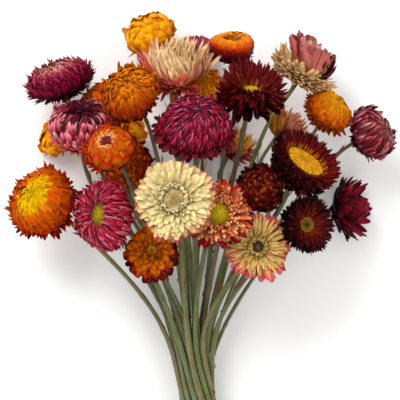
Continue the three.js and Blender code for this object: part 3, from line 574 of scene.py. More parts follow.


# ---------------------------------------------------------------- the thirty heads
# groups: the petals, by form and number; over draws a group's colours from that share down the head only.
# colours run down the head as (share, at the petal's base, middle, tip); disc as (radius, edge height, middle height, inner, outer)
# each petal's colours run from a darker base to a lighter tip: partly its own colour, partly painted shade at the base
# and painted light at the tip
GLOSS = dict(rough=0.42, spec=0.12)
WARM = dict(rough=0.5, spec=0.04)
LOOKS = {
    # painted highlight: alt puts pale salmon glints on a share of the upper petals
    "crimson_fringed": dict(groups=[dict(form="fringe", n=700, slim=0.56, flare=4)], wobble=0.6, lean=(0.0, -0.38), dark=0.45, jig=1.5, alt=(0.22, (252, 201, 162)), alt_to=0.34, shine=0.1, paper=GLOSS, colours=[
        (0.0, (178, 55, 78), (254, 159, 133), (255, 255, 203)),
        (0.16, (163, 28, 65), (232, 94, 107), (255, 185, 171)),
        (0.26, (131, 6, 53), (213, 34, 89), (244, 106, 140)),
        (0.42, (119, 3, 49), (201, 20, 80), (225, 55, 116)),
        (0.52, (113, 4, 42), (192, 11, 67), (160, 15, 71)),
        (0.58, (63, 5, 32), (100, 5, 44), (63, 5, 35)),
        (0.9, (41, 5, 21), (57, 5, 23), (39, 5, 21)),
        (1.0, (65, 45, 26), (38, 9, 18), (27, 8, 14))]),
    "golden_cup": dict(groups=[dict(form="globe", n=124, slim=0.95, flare=3, point=1.1), dict(form="frill", n=44, wide=1.1, point=1.6, over=0.9, shrink=1.08, reach=1.1)], heart=0.10, heart_tone=2.3, dark=0.05, ripple=3.0, jig=1.4, paper=WARM, edge=0.15, shine=0.05, colours=[
        (0.0, (214, 115, 1), (232, 160, 3), (236, 177, 21)),
        (0.4, (223, 129, 0), (234, 160, 2), (236, 164, 7)),
        (0.75, (220, 112, 0), (227, 138, 0), (228, 129, 2)),
        (0.9, (205, 94, 2), (220, 112, 2), (214, 100, 2)),
        (1.0, (128, 53, 2), (206, 93, 2), (177, 69, 2))], disc=(0.16, 0.4, 0.6, (236, 150, 10), (226, 140, 4))),
    "rose_small": dict(groups=[dict(form="mop", n=300, slim=0.55)], paper=GLOSS, shine=0.15, colours=[
        (0.0, (120, 20, 54), (180, 60, 96), (214, 120, 146)),
        (0.5, (110, 8, 44), (160, 34, 80), (176, 50, 92)),
        (0.8, (80, 4, 34), (120, 8, 50), (96, 6, 44)),
        (1.0, (50, 16, 18), (80, 12, 36), (50, 8, 28))]),
    "cream_pink_side": dict(groups=[dict(form="cone", n=340, wide=0.50, point=0.8, span=(0, 0.80), sweep=-0.20, hook=0.16, rise=1.08), dict(form="cone", n=46, wide=0.7, span=(0.76, 0.93), over=0.8, between=(165, 290)), dict(form="cone", n=30, wide=0.5, span=(0.72, 0.84), over=0.6, between=(-10, 160), sweep=-0.1), dict(form="frill", n=22, wide=0.8, over=0.88, between=(180, 320))], dark=0.1, jig=2.2, wobble=1.4, alt=(0.08, (241, 166, 66)), alt_to=0.5, shine=0.0, colours=[
        (0.0, (237, 166, 82), (255, 205, 133), (255, 222, 171)),
        (0.55, (237, 163, 82), (255, 209, 142), (255, 222, 172)),
        (0.70, (237, 163, 82), (255, 202, 133), (255, 214, 158)),
        (0.78, (216, 101, 66), (237, 124, 91), (241, 138, 108)),
        (0.88, (157, 64, 35), (216, 83, 66), (199, 64, 62)),
        (1.0, (115, 83, 31), (146, 83, 35), (115, 54, 31))],
        sides=[(205, 50, 0.62, (199, 83, 53), (235, 110, 82), (231, 101, 91))]),
    # painted light and shade: sides make the upper side (90°) brighter and the lower side (275°) darker, as the light
    # falls on it
    "orange_dome": dict(groups=[dict(form="scale", n=540, slim=0.72, flare=4)], jig=2.2, ripple=2.0, paper=WARM, shine=0.1, lean=(0.05, 0.1), alt=(0.25, (150, 40, 2)), alt_from=0.4, sides=[(90, 95, 0.14, (190, 96, 2), (240, 138, 4), (246, 150, 10)), (275, 80, 0.30, (120, 26, 2), (176, 62, 2), (164, 50, 3))], colours=[
        (0.0, (96, 30, 2), (200, 100, 3), (216, 116, 8)),
        (0.04, (170, 76, 1), (232, 130, 4), (240, 144, 10)),
        (0.3, (180, 70, 1), (228, 118, 3), (232, 124, 6)),
        (0.6, (160, 50, 1), (206, 84, 2), (196, 72, 3)),
        (0.78, (128, 26, 1), (180, 56, 2), (164, 42, 3)),
        (1.0, (72, 23, 7), (108, 20, 4), (74, 9, 4))]),
    "amber_small": dict(groups=[dict(form="scale", n=230, slim=0.75, flare=6)], jig=1.8, shine=0.05, paper=WARM, colours=[
        (0.0, (241, 85, 3), (255, 123, 7), (255, 137, 14)),
        (0.6, (185, 50, 2), (255, 91, 4), (241, 76, 5)),
        (1.0, (103, 36, 10), (150, 47, 8), (115, 27, 7))]),
    # painted highlight: alt puts pale pink sheen on a share of the petals
    "mauve_cup": dict(groups=[dict(form="bowl", n=230, slim=0.62, span=(0.14, 1.0)), dict(form="bowl", n=110, slim=0.45, span=(0.0, 0.16)), dict(form="mop", n=120, slim=0.45, shrink=0.40, rise=0.66, span=(0, 0.6), over=0.05), dict(form="frill", n=26, wide=1.1, over=0.9, between=(200, 340))], edge=0.35, tip_from=0.6, shine=0.18, ripple=1.6, jig=1.5, alt=(0.3, (240, 180, 190)), alt_from=0.14, alt_to=0.7, paper=dict(rough=0.42, spec=0.10, vein=0.55), colours=[
        (0.0, (24, 1, 8), (46, 2, 14), (95, 12, 32)),
        (0.12, (53, 4, 16), (98, 10, 32), (175, 58, 75)),
        (0.2, (124, 16, 42), (198, 60, 81), (247, 144, 153)),
        (0.45, (168, 40, 63), (230, 88, 105), (247, 132, 143)),
        (0.65, (202, 60, 77), (241, 104, 113), (234, 100, 113)),
        (0.8, (226, 116, 91), (251, 142, 121), (241, 118, 109)),
        (0.9, (243, 156, 95), (255, 164, 113), (245, 132, 103)),
        (1.0, (167, 104, 37), (215, 116, 52), (167, 80, 34))], disc=(0.24, -0.3, -0.15, (40, 4, 14), (30, 2, 10))),
    "yellow_small": dict(groups=[dict(form="globe", n=44, slim=0.95, flare=8), dict(form="frill", n=26, wide=1.0, over=1, point=1.6, reach=1.2, shrink=1.15)], heart=0.16, heart_tone=1.7, dark=0.1, ripple=1.6, jig=2.2, paper=WARM, shine=0.05, colours=[
        (0.0, (235, 133, 4), (255, 188, 8), (255, 200, 30)),
        (0.6, (225, 112, 4), (252, 168, 6), (249, 153, 6)),
        (1.0, (153, 72, 10), (231, 131, 8), (204, 98, 10))], disc=(0.2, 0.2, 0.4, (236, 150, 10), (220, 130, 8))),
    "gold_small": dict(groups=[dict(form="globe", n=44, slim=0.95, flare=10), dict(form="frill", n=24, over=0.9, point=1.6)], heart=0.16, heart_tone=1.3, dark=0.1, jig=2.0, ripple=3, paper=WARM, shine=0.05, colours=[
        (0.0, (247, 125, 4), (247, 174, 15), (247, 183, 43)),
        (0.6, (234, 106, 4), (247, 164, 11), (247, 144, 11)),
        (1.0, (122, 68, 22), (211, 106, 15), (156, 54, 15))], disc=(0.2, 0.2, 0.4, (236, 150, 10), (220, 130, 8))),
    "orange_red_cup": dict(groups=[dict(form="globe", n=44, slim=0.95, span=(0.16, 1.0), flare=4, widest=0.86, point=0.8), dict(form="globe", n=56, slim=1.0, span=(0.02, 0.17), widest=0.85), dict(form="globe", n=30, slim=1.0, span=(0.0, 0.02), widest=0.85), dict(form="star", n=34, wide=1.7, point=1.1, over=0.5, between=(40, 250), shrink=1.18, reach=1.18, span=(0.1, 0.8)), dict(form="star", n=14, wide=1.1, point=1.6, over=0.9, between=(-110, 10))], heart=0.10, heart_tone=2.4, rd=0.22, dark=0.12, ripple=1.6, jig=1.0, edge=0.4, tip_from=0.86, band=0.0, shine=0.05, paper=WARM, lean=(-0.05, 0.08), colours=[
        (0.0, (183, 56, 14), (218, 121, 54), (246, 217, 177)),
        (0.09, (189, 78, 7), (221, 118, 20), (235, 159, 81)),
        (0.16, (186, 82, 5), (202, 98, 5), (196, 49, 3)),
        (0.5, (192, 97, 2), (202, 97, 2), (177, 20, 2)),
        (0.82, (194, 115, 2), (202, 102, 2), (174, 30, 2)),
        (1.0, (140, 77, 8), (179, 89, 5), (104, 20, 4))], disc=(0.24, 0.72, 0.9, (100, 10, 10), (150, 30, 20)), floret=0.00085),
    "russet": dict(groups=[dict(form="scale", n=260, slim=0.8, flare=14)], jig=2.4, paper=WARM, ripple=2, alt=(0.35, (222, 135, 24)), shine=0.1, colours=[
        (0.0, (182, 63, 7), (239, 101, 16), (255, 120, 19)),
        (0.5, (148, 36, 7), (211, 73, 10), (239, 101, 25)),
        (1.0, (67, 27, 16), (102, 17, 10), (67, 9, 8))]),
    "large_orange": dict(groups=[dict(form="mop", n=230, slim=0.9, span=(0.0, 0.32), flare=-8), dict(form="fringe", n=300, slim=0.62, span=(0.26, 1.0), flare=6, point=0.9), dict(form="frill", n=30, wide=1.2, over=0.95)],
        dark=0.2, jig=1.4, paper=WARM, alt=(0.28, (196, 30, 2)), alt_from=0.36, squash=(140, 0.62), heart_tone=1.3, tip_from=0.6, shine=0.05, lean=(-0.12, 0.12), colours=[
        (0.0, (232, 189, 0), (242, 205, 1), (242, 194, 1)),
        (0.2, (232, 181, 0), (246, 194, 1), (246, 172, 1)),
        (0.27, (201, 89, 0), (215, 99, 1), (215, 89, 1)),
        (0.44, (162, 36, 0), (197, 70, 0), (205, 67, 0)),
        (0.58, (137, 14, 0), (194, 51, 0), (188, 32, 1)),
        (0.7, (119, 3, 1), (166, 14, 1), (145, 5, 3)),
        (1.0, (76, 25, 4), (115, 11, 3), (76, 3, 3))]),
    # painted highlight: alt puts glossy pink highlights on a share of the petals
    "crimson_open": dict(groups=[dict(form="ring", n=440, slim=0.40), dict(form="ring", n=190, slim=0.55, span=(0.0, 0.42))], jig=1.5, oval=(8, 0.87), squash=(-20, 0.78), rd=0.37, dark=0.45, alt=(0.34, (246, 140, 166)), alt_to=0.75, shine=0.3, paper=dict(rough=0.32, spec=0.17, vein=0.5), lean=(-0.08, 0.08), colours=[
        (0.0, (103, 0, 19), (172, 16, 49), (202, 51, 78)),
        (0.3, (103, 0, 19), (190, 11, 45), (207, 37, 68)),
        (0.65, (93, 0, 18), (182, 4, 37), (186, 12, 45)),
        (0.85, (83, 0, 21), (145, 3, 37), (125, 3, 35)),
        (1.0, (52, 12, 16), (69, 3, 18), (42, 3, 12))], disc=(0.40, 0.42, 0.56, (222, 194, 8), (120, 92, 6))),
    "large_cream": dict(groups=[dict(form="ray", n=340, wide=1.12, point=0.7)], dark=0.14, ripple=2.2, jig=1.1, paper=dict(vein=0.5, spec=0.05), tip_from=0.82, edge=0.14, wobble=1.3, lean=(-0.05, 0.08), colours=[
        (0.0, (179, 150, 73), (241, 218, 155), (249, 245, 204)),
        (0.26, (169, 143, 73), (241, 218, 152), (249, 231, 172)),
        (0.5, (199, 174, 93), (244, 225, 155), (248, 221, 155)),
        (0.7, (203, 174, 104), (244, 218, 155), (241, 184, 131)),
        (0.82, (199, 143, 93), (236, 180, 131), (224, 118, 104)),
        (0.9, (173, 92, 73), (209, 112, 93), (194, 71, 87)),
        (1.0, (133, 112, 52), (183, 133, 84), (152, 82, 63))], disc=(0.25, 0.62, 0.6, (190, 150, 84), (214, 196, 130)), dimple=0.25,
        sides=[(78, 34, 0.7, (183, 103, 84), (209, 112, 114), (194, 71, 100)), (-20, 50, 0.78, (203, 123, 84), (230, 143, 104), (224, 123, 100))]),
    "burnt_orange": dict(groups=[dict(form="ray", n=120, wide=2.0, point=0.6, span=(0.24, 1.0)), dict(form="ray", n=50, wide=1.3, span=(0.2, 0.34), shrink=0.7)], jig=1.6, ripple=2.2, edge=0.3, tip_from=0.78, lean=(0.0, 0.22), rd=0.16, paper=dict(rough=0.46, spec=0.05, vein=0.55), sides=[(-10, 70, 0.5, (141, 41, 7), (191, 72, 10), (91, 11, 14))], colours=[
        (0.0, (234, 189, 27), (225, 134, 10), (205, 100, 10)),
        (0.3, (213, 134, 10), (225, 123, 6), (205, 90, 10)),
        (0.5, (189, 79, 4), (239, 134, 6), (225, 100, 10)),
        (0.66, (172, 55, 4), (229, 107, 6), (181, 39, 6)),
        (0.8, (153, 39, 6), (215, 82, 10), (106, 8, 15)),
        (0.9, (106, 17, 6), (143, 30, 10), (87, 6, 15)),
        (1.0, (57, 24, 23), (77, 15, 15), (48, 5, 15))], disc=(0.17, 0.8, 0.75, (150, 76, 4), (255, 190, 14)), dimple=0.3),
    # painted highlight: alt puts pink highlights on a share of the upper petals
    "magenta_dome": dict(groups=[dict(form="mop", n=680, span=(0, 0.84), slim=0.5, long=0.86, sweep=0.04), dict(form="frill", n=50, wide=1.1, over=0.9, point=1.6), dict(form="frill", n=34, wide=1.8, over=0.94, point=0.7, between=(165, 375), shrink=1.12, reach=1.13, span=(0.0, 0.8))], alt=(0.40, (240, 112, 166)), alt_to=0.45, oval=(90, 0.86), jig=1.3, shine=0.35, dark=0.4, paper=dict(rough=0.32, spec=0.17, vein=0.5), lean=(0.05, 0.12), colours=[
        (0.0, (42, 0, 11), (74, 2, 26), (115, 4, 45)),
        (0.05, (63, 0, 20), (137, 3, 48), (180, 10, 69)),
        (0.25, (84, 0, 24), (180, 4, 51), (212, 28, 85)),
        (0.55, (84, 0, 24), (177, 3, 49), (202, 13, 64)),
        (0.66, (59, 0, 17), (128, 3, 34), (139, 8, 45)),
        (0.86, (99, 13, 27), (160, 37, 58), (160, 39, 60)),
        (1.0, (59, 13, 15), (99, 15, 29), (69, 7, 19))], tip_from=0.7),
    "bright_orange_small": dict(groups=[dict(form="scale", n=140, slim=0.8, flare=30), dict(form="star", n=60, wide=0.8, over=0.0, rise=1.6, point=1.4), dict(form="cone", n=50, wide=0.7, over=0.0, point=1.4, span=(0.1, 0.8))], jig=2.2, paper=WARM, shine=0.1, colours=[
        (0.0, (255, 133, 7), (255, 168, 13), (255, 182, 44)),
        (0.7, (255, 115, 7), (255, 152, 10), (255, 142, 15)),
        (1.0, (230, 80, 9), (255, 115, 9), (240, 97, 10))]),
    "orange_red_bowl": dict(groups=[dict(form="bowl", n=170, slim=1.1, flare=-8, lift=0.006, point=0.8), dict(form="frill", n=16, wide=0.7, over=0.97, point=2, between=(-120, 0))], dark=0.12, jig=0.7, shine=0.05, band=0.8, edge=0.0, tip_from=0.9, paper=dict(rough=0.42, spec=0.05), colours=[
        (0.0, (124, 56, 7), (150, 74, 6), (170, 90, 8)),
        (0.08, (200, 119, 4), (214, 124, 4), (214, 124, 4)),
        (0.2, (216, 120, 2), (232, 130, 3), (226, 120, 3)),
        (0.3, (200, 84, 2), (216, 92, 3), (206, 76, 4)),
        (0.38, (160, 36, 4), (170, 36, 6), (150, 26, 8)),
        (0.46, (110, 8, 8), (118, 9, 9), (100, 6, 10)),
        (0.56, (72, 4, 10), (80, 5, 11), (60, 3, 11)),
        (0.7, (50, 2, 11), (56, 3, 12), (38, 1, 11)),
        (1.0, (40, 14, 14), (46, 4, 12), (26, 2, 10))], disc=(0.26, 0.1, 0.25, (206, 90, 10), (150, 56, 8))),
    "burgundy": dict(groups=[dict(form="saucer", n=250, wide=1.5, point=1.2), dict(form="star", n=26, wide=0.7, over=0.97, point=2.0)], jig=1.9, ripple=1.6, shine=0.2, paper=dict(rough=0.40, spec=0.11), lean=(0.02, 0.14), tilt=(270, 0.12), squash=(85, 0.55), alt=(0.08, (213, 75, 53)), colours=[
        (0.0, (220, 145, 4), (139, 30, 10), (119, 14, 12)),
        (0.1, (75, 2, 6), (102, 4, 10), (119, 11, 15)),
        (0.6, (54, 0, 6), (86, 1, 9), (102, 4, 14)),
        (0.85, (44, 0, 4), (72, 1, 8), (58, 0, 7)),
        (1.0, (40, 9, 4), (47, 2, 6), (34, 1, 4))], disc=(0.26, 0.3, 0.5, (240, 196, 2), (210, 170, 4))),
    "pink_cup": dict(groups=[
        dict(form="cone", n=46, wide=2.3, point=0.62, span=(0.06, 0.66), shrink=1.16, reach=1.2, rise=1.1),
        dict(form="star", n=56, wide=1.2, point=0.6, over=0.9, between=(150, 305), span=(0.72, 1.0), shrink=0.95),
        dict(form="frill", n=110, wide=1.3, point=0.5, over=0.9, between=(150, 345), reach=1.15, shrink=1.1),
        dict(form="frill", n=30, wide=0.7, over=0.9, between=(-30, 60)),
        dict(form="cone", n=26, wide=0.7, over=1.0, span=(0.5, 0.8), point=1.6, between=(-60, 30))], ripple=3.0, jig=1.8, tip_from=0.6, edge=0.3, shine=0.12, dark=0.08, lean=(-0.30, 0.06),
        paper=dict(vein=0.8), colours=[
        (0.0, (177, 89, 75), (195, 129, 107), (210, 173, 146)),
        (0.4, (204, 153, 115), (195, 121, 104), (184, 96, 92)),
        (0.72, (204, 158, 113), (195, 121, 99), (182, 89, 85)),
        (0.84, (229, 183, 111), (229, 189, 127), (229, 184, 120)),
        (0.9, (229, 180, 108), (229, 192, 132), (229, 188, 132)),
        (0.96, (224, 159, 80), (229, 180, 113), (229, 180, 113)),
        (1.0, (89, 12, 20), (82, 4, 20), (51, 1, 12))], disc=(0.1, -0.3, -0.2, (150, 90, 50), (130, 60, 40))),
    "yellow_orange_bud": dict(groups=[dict(form="scale", n=240, slim=0.95, flare=-6, lift=0.006, span=(0, 0.86)), dict(form="star", n=26, wide=1.3, over=0.9, point=1.3, between=(130, 300), shrink=1.12, reach=1.15), dict(form="frill", n=56, wide=1.4, over=0.9, point=1.1, between=(110, 320), shrink=1.16, reach=1.16)], dark=0.12, squash=(45, 0.75), oval=(50, 0.92), band=0.75, sides=[(60, 85, 0.08, (214, 124, 1), (244, 168, 4), (240, 160, 6))], heart_tone=2.4, heart=0.05, jig=0.9, ripple=1.6, shine=0.05, paper=dict(rough=0.44, spec=0.04), lean=(0.06, 0.14), colours=[
        (0.0, (98, 84, 1), (152, 114, 2), (170, 118, 3)),
        (0.08, (175, 114, 1), (202, 140, 2), (200, 132, 3)),
        (0.22, (182, 96, 1), (202, 123, 2), (197, 109, 3)),
        (0.42, (167, 63, 1), (185, 82, 2), (176, 67, 2)),
        (0.7, (144, 41, 1), (168, 63, 1), (158, 41, 2)),
        (0.9, (167, 67, 1), (187, 89, 2), (167, 56, 3)),
        (1.0, (78, 29, 7), (124, 34, 3), (78, 9, 5))]),
    # painted highlight: alt puts pale pink highlights on a share of the petals
    "plum_dome": dict(groups=[dict(form="scale", n=230, slim=0.52, long=1.1, flare=4)], jig=1.6, ripple=1.6, dark=0.4, tip_from=0.6, shine=0.2, paper=dict(rough=0.36, spec=0.15, vein=0.55), alt=(0.4, (226, 164, 160)), alt_to=0.7, colours=[
        (0.0, (115, 25, 14), (166, 57, 39), (210, 108, 78)),
        (0.25, (93, 4, 29), (146, 22, 51), (210, 98, 102)),
        (0.6, (66, 1, 21), (120, 8, 39), (155, 35, 63)),
        (0.8, (44, 1, 14), (80, 3, 25), (77, 4, 25)),
        (1.0, (40, 14, 9), (44, 4, 13), (29, 2, 8))]),
    "salmon_fan": dict(groups=[dict(form="cone", n=110, wide=1.0, shrink=1.35, reach=1.4, rise=1.8)], jig=1.8, dark=0.15, lean=(-0.1, 0.0), ripple=2, paper=dict(vein=0.6), colours=[
        (0.0, (242, 144, 87), (248, 162, 115), (253, 188, 149)),
        (0.6, (217, 100, 50), (238, 137, 96), (238, 155, 119)),
        (0.85, (150, 80, 26), (190, 100, 44), (170, 80, 50)),
        (1.0, (110, 90, 36), (130, 80, 36), (100, 60, 30))], disc=(0.1, -0.3, -0.2, (150, 90, 50), (130, 60, 40)),
        sides=[(215, 42, 0.2, (200, 120, 20), (226, 150, 40), (214, 130, 40))]),
    "peach_back": dict(groups=[dict(form="cone", n=64, wide=1.25, point=1.6, shrink=1.25, reach=1.3, rise=1.4), dict(form="frill", n=54, wide=1.6, over=0.92, shrink=1.15, reach=1.2)], jig=1.6, ripple=2, colours=[
        (0.0, (206, 82, 19), (255, 184, 48), (255, 211, 86)),
        (0.6, (185, 51, 19), (239, 133, 38), (255, 184, 67)),
        (0.8, (177, 59, 45), (224, 107, 78), (243, 131, 100)),
        (0.93, (165, 64, 45), (224, 95, 78), (201, 84, 67)),
        (1.0, (120, 92, 34), (130, 82, 34), (104, 61, 29))], disc=(0.1, -0.3, -0.2, (150, 110, 50), (130, 90, 40))),
    # painted highlight: alt puts pale highlight lines on a share of the petals
    "dark_red_gold_eye": dict(groups=[dict(form="saucer", n=420, wide=0.95), dict(form="saucer", n=60, wide=0.7, point=1.3, span=(0.0, 0.02), over=0.0)], rd=0.54, jig=1.2, shine=0.25, paper=dict(rough=0.36, spec=0.12), tilt=(230, 0.12), squash=(64, 0.60), alt=(0.06, (188, 83, 79)), colours=[
        (0.0, (206, 128, 4), (208, 124, 4), (186, 84, 6)),
        (0.03, (180, 80, 6), (164, 44, 6), (140, 20, 8)),
        (0.06, (160, 33, 4), (151, 13, 6), (122, 6, 7)),
        (0.2, (104, 3, 3), (122, 3, 4), (104, 2, 7)),
        (0.45, (62, 0, 3), (90, 1, 4), (71, 1, 7)),
        (0.7, (36, 0, 4), (58, 0, 6), (41, 0, 6)),
        (0.85, (27, 0, 4), (41, 0, 6), (31, 0, 6)),
        (1.0, (33, 6, 6), (36, 1, 6), (25, 0, 4))], disc=(0.55, 0.45, 0.62, (222, 152, 2), (238, 178, 4)), dimple=0.13, floret=0.00042,
        sides=[(-12, 46, 0.03, (176, 30, 5), (156, 13, 5), (110, 5, 7)), (230, 60, 0.12, (56, 0, 6), (65, 0, 9), (75, 3, 17))]),
    # painted highlight: alt puts orange highlights on a share of the petals
    "rust_ball": dict(groups=[dict(form="scale", n=300, slim=0.95, flare=9), dict(form="scale", n=70, slim=0.9, flare=12, span=(0.0, 0.16))], jig=2.2, heart=0.11, heart_tone=0.7, ripple=2.4, alt=(0.35, (226, 104, 56)), shine=0.15, paper=dict(rough=0.38, spec=0.05), colours=[
        (0.0, (75, 3, 3), (108, 15, 3), (136, 41, 9)),
        (0.4, (72, 2, 3), (110, 13, 3), (122, 21, 6)),
        (0.75, (51, 0, 3), (86, 3, 3), (65, 2, 3)),
        (1.0, (30, 7, 4), (40, 2, 3), (25, 1, 3))]),
    "maroon": dict(groups=[dict(form="saucer", n=400, wide=0.95, point=1.3)], jig=1.3, shine=0.3, paper=dict(rough=0.36, spec=0.14), alt=(0.10, (157, 56, 67)), tilt=(160, 0.1), colours=[
        (0.0, (154, 60, 3), (141, 32, 4), (125, 16, 7)),
        (0.15, (101, 11, 4), (110, 5, 5), (95, 3, 8)),
        (0.35, (57, 1, 4), (84, 1, 7), (65, 1, 10)),
        (0.6, (30, 0, 4), (54, 1, 8), (50, 1, 10)),
        (0.85, (20, 0, 4), (38, 0, 7), (30, 0, 8)),
        (1.0, (24, 2, 5), (27, 1, 7), (19, 0, 5))], disc=(0.25, 0.2, 0.22, (44, 26, 4), (170, 118, 4)), dimple=0.3),
    "wine_star": dict(groups=[dict(form="scale", n=60, slim=0.7, shrink=0.44, span=(0, 0.6)), dict(form="star", n=54, wide=2.1, point=0.95)], jig=1.5, shine=0.15, paper=dict(rough=0.4, spec=0.08), colours=[
        (0.0, (113, 3, 29), (154, 9, 47), (164, 24, 58)),
        (0.25, (86, 1, 21), (121, 3, 33), (113, 6, 29)),
        (0.55, (36, 0, 8), (66, 1, 15), (55, 1, 13)),
        (0.8, (25, 0, 6), (47, 1, 10), (36, 1, 8)),
        (1.0, (32, 6, 5), (34, 1, 6), (20, 1, 2))]),
    "salmon_open": dict(groups=[dict(form="shag", n=270, wide=1.3, point=0.7), dict(form="frill", n=30, wide=1.3, over=0.95)], jig=1.6, tip_from=0.55, alt=(0.3, (255, 223, 155)), alt_to=0.8, shine=0.2, paper=dict(rough=0.4, spec=0.12), colours=[
        (0.0, (217, 168, 16), (253, 149, 68), (255, 184, 111)),
        (0.25, (225, 50, 16), (255, 128, 77), (255, 194, 129)),
        (0.6, (225, 40, 19), (253, 114, 65), (255, 174, 111)),
        (0.8, (200, 19, 21), (238, 79, 51), (231, 59, 51)),
        (0.92, (127, 2, 21), (169, 10, 33), (137, 2, 28)),
        (1.0, (96, 40, 19), (117, 13, 21), (85, 4, 18))], disc=(0.30, 0.5, 0.8, (226, 204, 4), (206, 176, 10)),
        sides=[(245, 60, 0.66, (158, 6, 21), (206, 40, 45), (169, 10, 37))]),
    "straw_pink": dict(groups=[dict(form="ray", n=260, wide=0.72, span=(0, 0.7)), dict(form="ray", n=90, wide=1.15, span=(0.66, 1.0))], rd=0.15, jig=1.4, ripple=1.8, tip_from=0.7, alt=(0.06, (254, 141, 21)), wobble=1.6, colours=[
        (0.0, (90, 74, 26), (208, 168, 87), (234, 199, 126)),
        (0.3, (131, 102, 39), (225, 183, 101), (236, 194, 118)),
        (0.55, (190, 137, 59), (230, 176, 98), (234, 173, 98)),
        (0.68, (204, 106, 52), (225, 137, 85), (221, 108, 91)),
        (0.84, (187, 71, 57), (210, 90, 83), (190, 62, 76)),
        (1.0, (130, 89, 40), (169, 79, 48), (138, 53, 40))], disc=(0.125, 0.55, 0.4, (150, 90, 50), (60, 54, 20)),
        sides=[(255, 75, 0.5, (239, 150, 66), (245, 170, 104), (230, 96, 110)), (90, 50, 0.55, (212, 101, 61), (226, 121, 93), (208, 80, 83))]),
}

# name, form of its solid, centre, way it faces, spread, depth below the rim and height above it, in millimetres
FLOWERS = [
    ("crimson_fringed", "dome", (-95, 131.35, 42.11), (-0.3222, 0.8659, 0.3826), 22.68, 12.19, 10.24),
    ("golden_cup", "cup", (-37.22, 161.68, 34.11), (-0.4236, 0.6555, 0.6252), 15.41, 14.09, 5.8),
    ("rose_small", "dome", (-4.1, 150.74, 12.1), (0.0502, 0.9231, 0.3813), 13.13, 8.47, 8.47),
    ("cream_pink_side", "open", (-18.3, 136.74, 60.19), (-0.0201, 0.8643, 0.5025), 24.67, 14.59, 11.14),
    ("orange_dome", "dome", (-47.48, 118.02, 81.91), (-0.3505, 0.4506, 0.8211), 18.51, 10.95, 9.95),
    ("amber_small", "dome", (-70.33, 117.23, 34.78), (-0.5514, 0.7018, 0.4511), 12.31, 7.94, 6.62),
    ("mauve_cup", "cup", (-78.72, 101.59, 61.23), (0.03, 0.8207, 0.5705), 19.95, 19.3, 7.51),
    ("yellow_small", "cup", (-101.24, 92.81, 11.03), (-0.7756, 0.362, 0.5171), 11.87, 10.21, 5.11),
    ("gold_small", "dome", (-50.07, 96.29, 27.11), (0.3813, 0.6537, 0.6537), 12.4, 9.33, 5.33),
    ("orange_red_cup", "cup", (-59.49, 83.45, 84.33), (-0.3006, 0.501, 0.8116), 14.83, 11.17, 7.18),
    ("russet", "dome", (-50.19, 74.02, 42.11), (0.2517, 0.0503, 0.9665), 15.93, 8.57, 7.71),
    ("large_orange", "open", (-105.25, 48.33, 54.11), (-0.3986, 0.299, 0.867), 23.08, 11.17, 9.43),
    ("crimson_open", "open", (-63.04, 39.48, 90.11), (-0.4224, 0.0503, 0.905), 21.26, 11.43, 9.6),
    ("large_cream", "open", (-17.15, 48.38, 104.78), (-0.0601, 0.1201, 0.9909), 23.95, 11.59, 8.24),
    ("burnt_orange", "dome", (-33.18, 13.35, 64.11), (0, 0.1005, 0.9949), 16.87, 9.07, 8.16),
    ("magenta_dome", "dome", (-5.27, 97.97, 88.03), (-0.0201, 0.5025, 0.8643), 22.44, 12.06, 12.06),
    ("bright_orange_small", "dome", (1.22, 124.1, 42.11), (0, 0.4512, 0.8924), 12.26, 7.91, 5.93),
    ("orange_red_bowl", "cup", (18.94, 152.13, 46.11), (0.02, 0.9021, 0.431), 14.05, 12.09, 5.29),
    ("burgundy", "open", (30.42, 117.17, 86.11), (0.0802, 0.501, 0.8617), 21.36, 11.48, 9.65),
    ("pink_cup", "cup", (70.41, 141.9, 42.11), (0.4997, 0.8294, 0.2498), 19.0, 17.36, 10.21),
    ("yellow_orange_bud", "dome", (83.73, 108.59, 50.11), (0.4504, 0.6006, 0.6606), 14.62, 9.43, 7.86),
    ("plum_dome", "dome", (112.59, 93.79, 42.11), (0.7197, 0.3498, 0.5997), 17.16, 11.07, 9.23),
    ("salmon_fan", "open", (55.95, 100.33, 26.11), (0.5997, 0.7497, 0.2799), 13.65, 11.74, 4.4),
    ("peach_back", "open", (22.17, 90.05, 13.04), (0.4224, 0.8548, 0.3017), 13.73, 13.29, 5.17),
    ("dark_red_gold_eye", "open", (63.43, 72.53, 88.11), (0.3794, 0.4493, 0.8088), 22.48, 10.88, 8.46),
    ("rust_ball", "dome", (36.92, 57.44, 60.11), (-0.1503, 0.3006, 0.9418), 15.11, 9.75, 8.94),
    ("maroon", "open", (65.85, 33.63, 78.64), (0.3505, 0.1001, 0.9312), 17.91, 9.63, 8.09),
    ("wine_star", "dome", (97.29, 43.59, 17.28), (0.905, 0.0503, 0.4224), 19.29, 10.37, 15.55),
    ("salmon_open", "open", (8.72, 40.74, 89.43), (0.1002, 0.0801, 0.9917), 21.26, 10.29, 8.23),
    ("straw_pink", "open", (35.1, 19.49, 77.51), (0, 0.0599, 0.9982), 20.83, 9.41, 6.72),
]

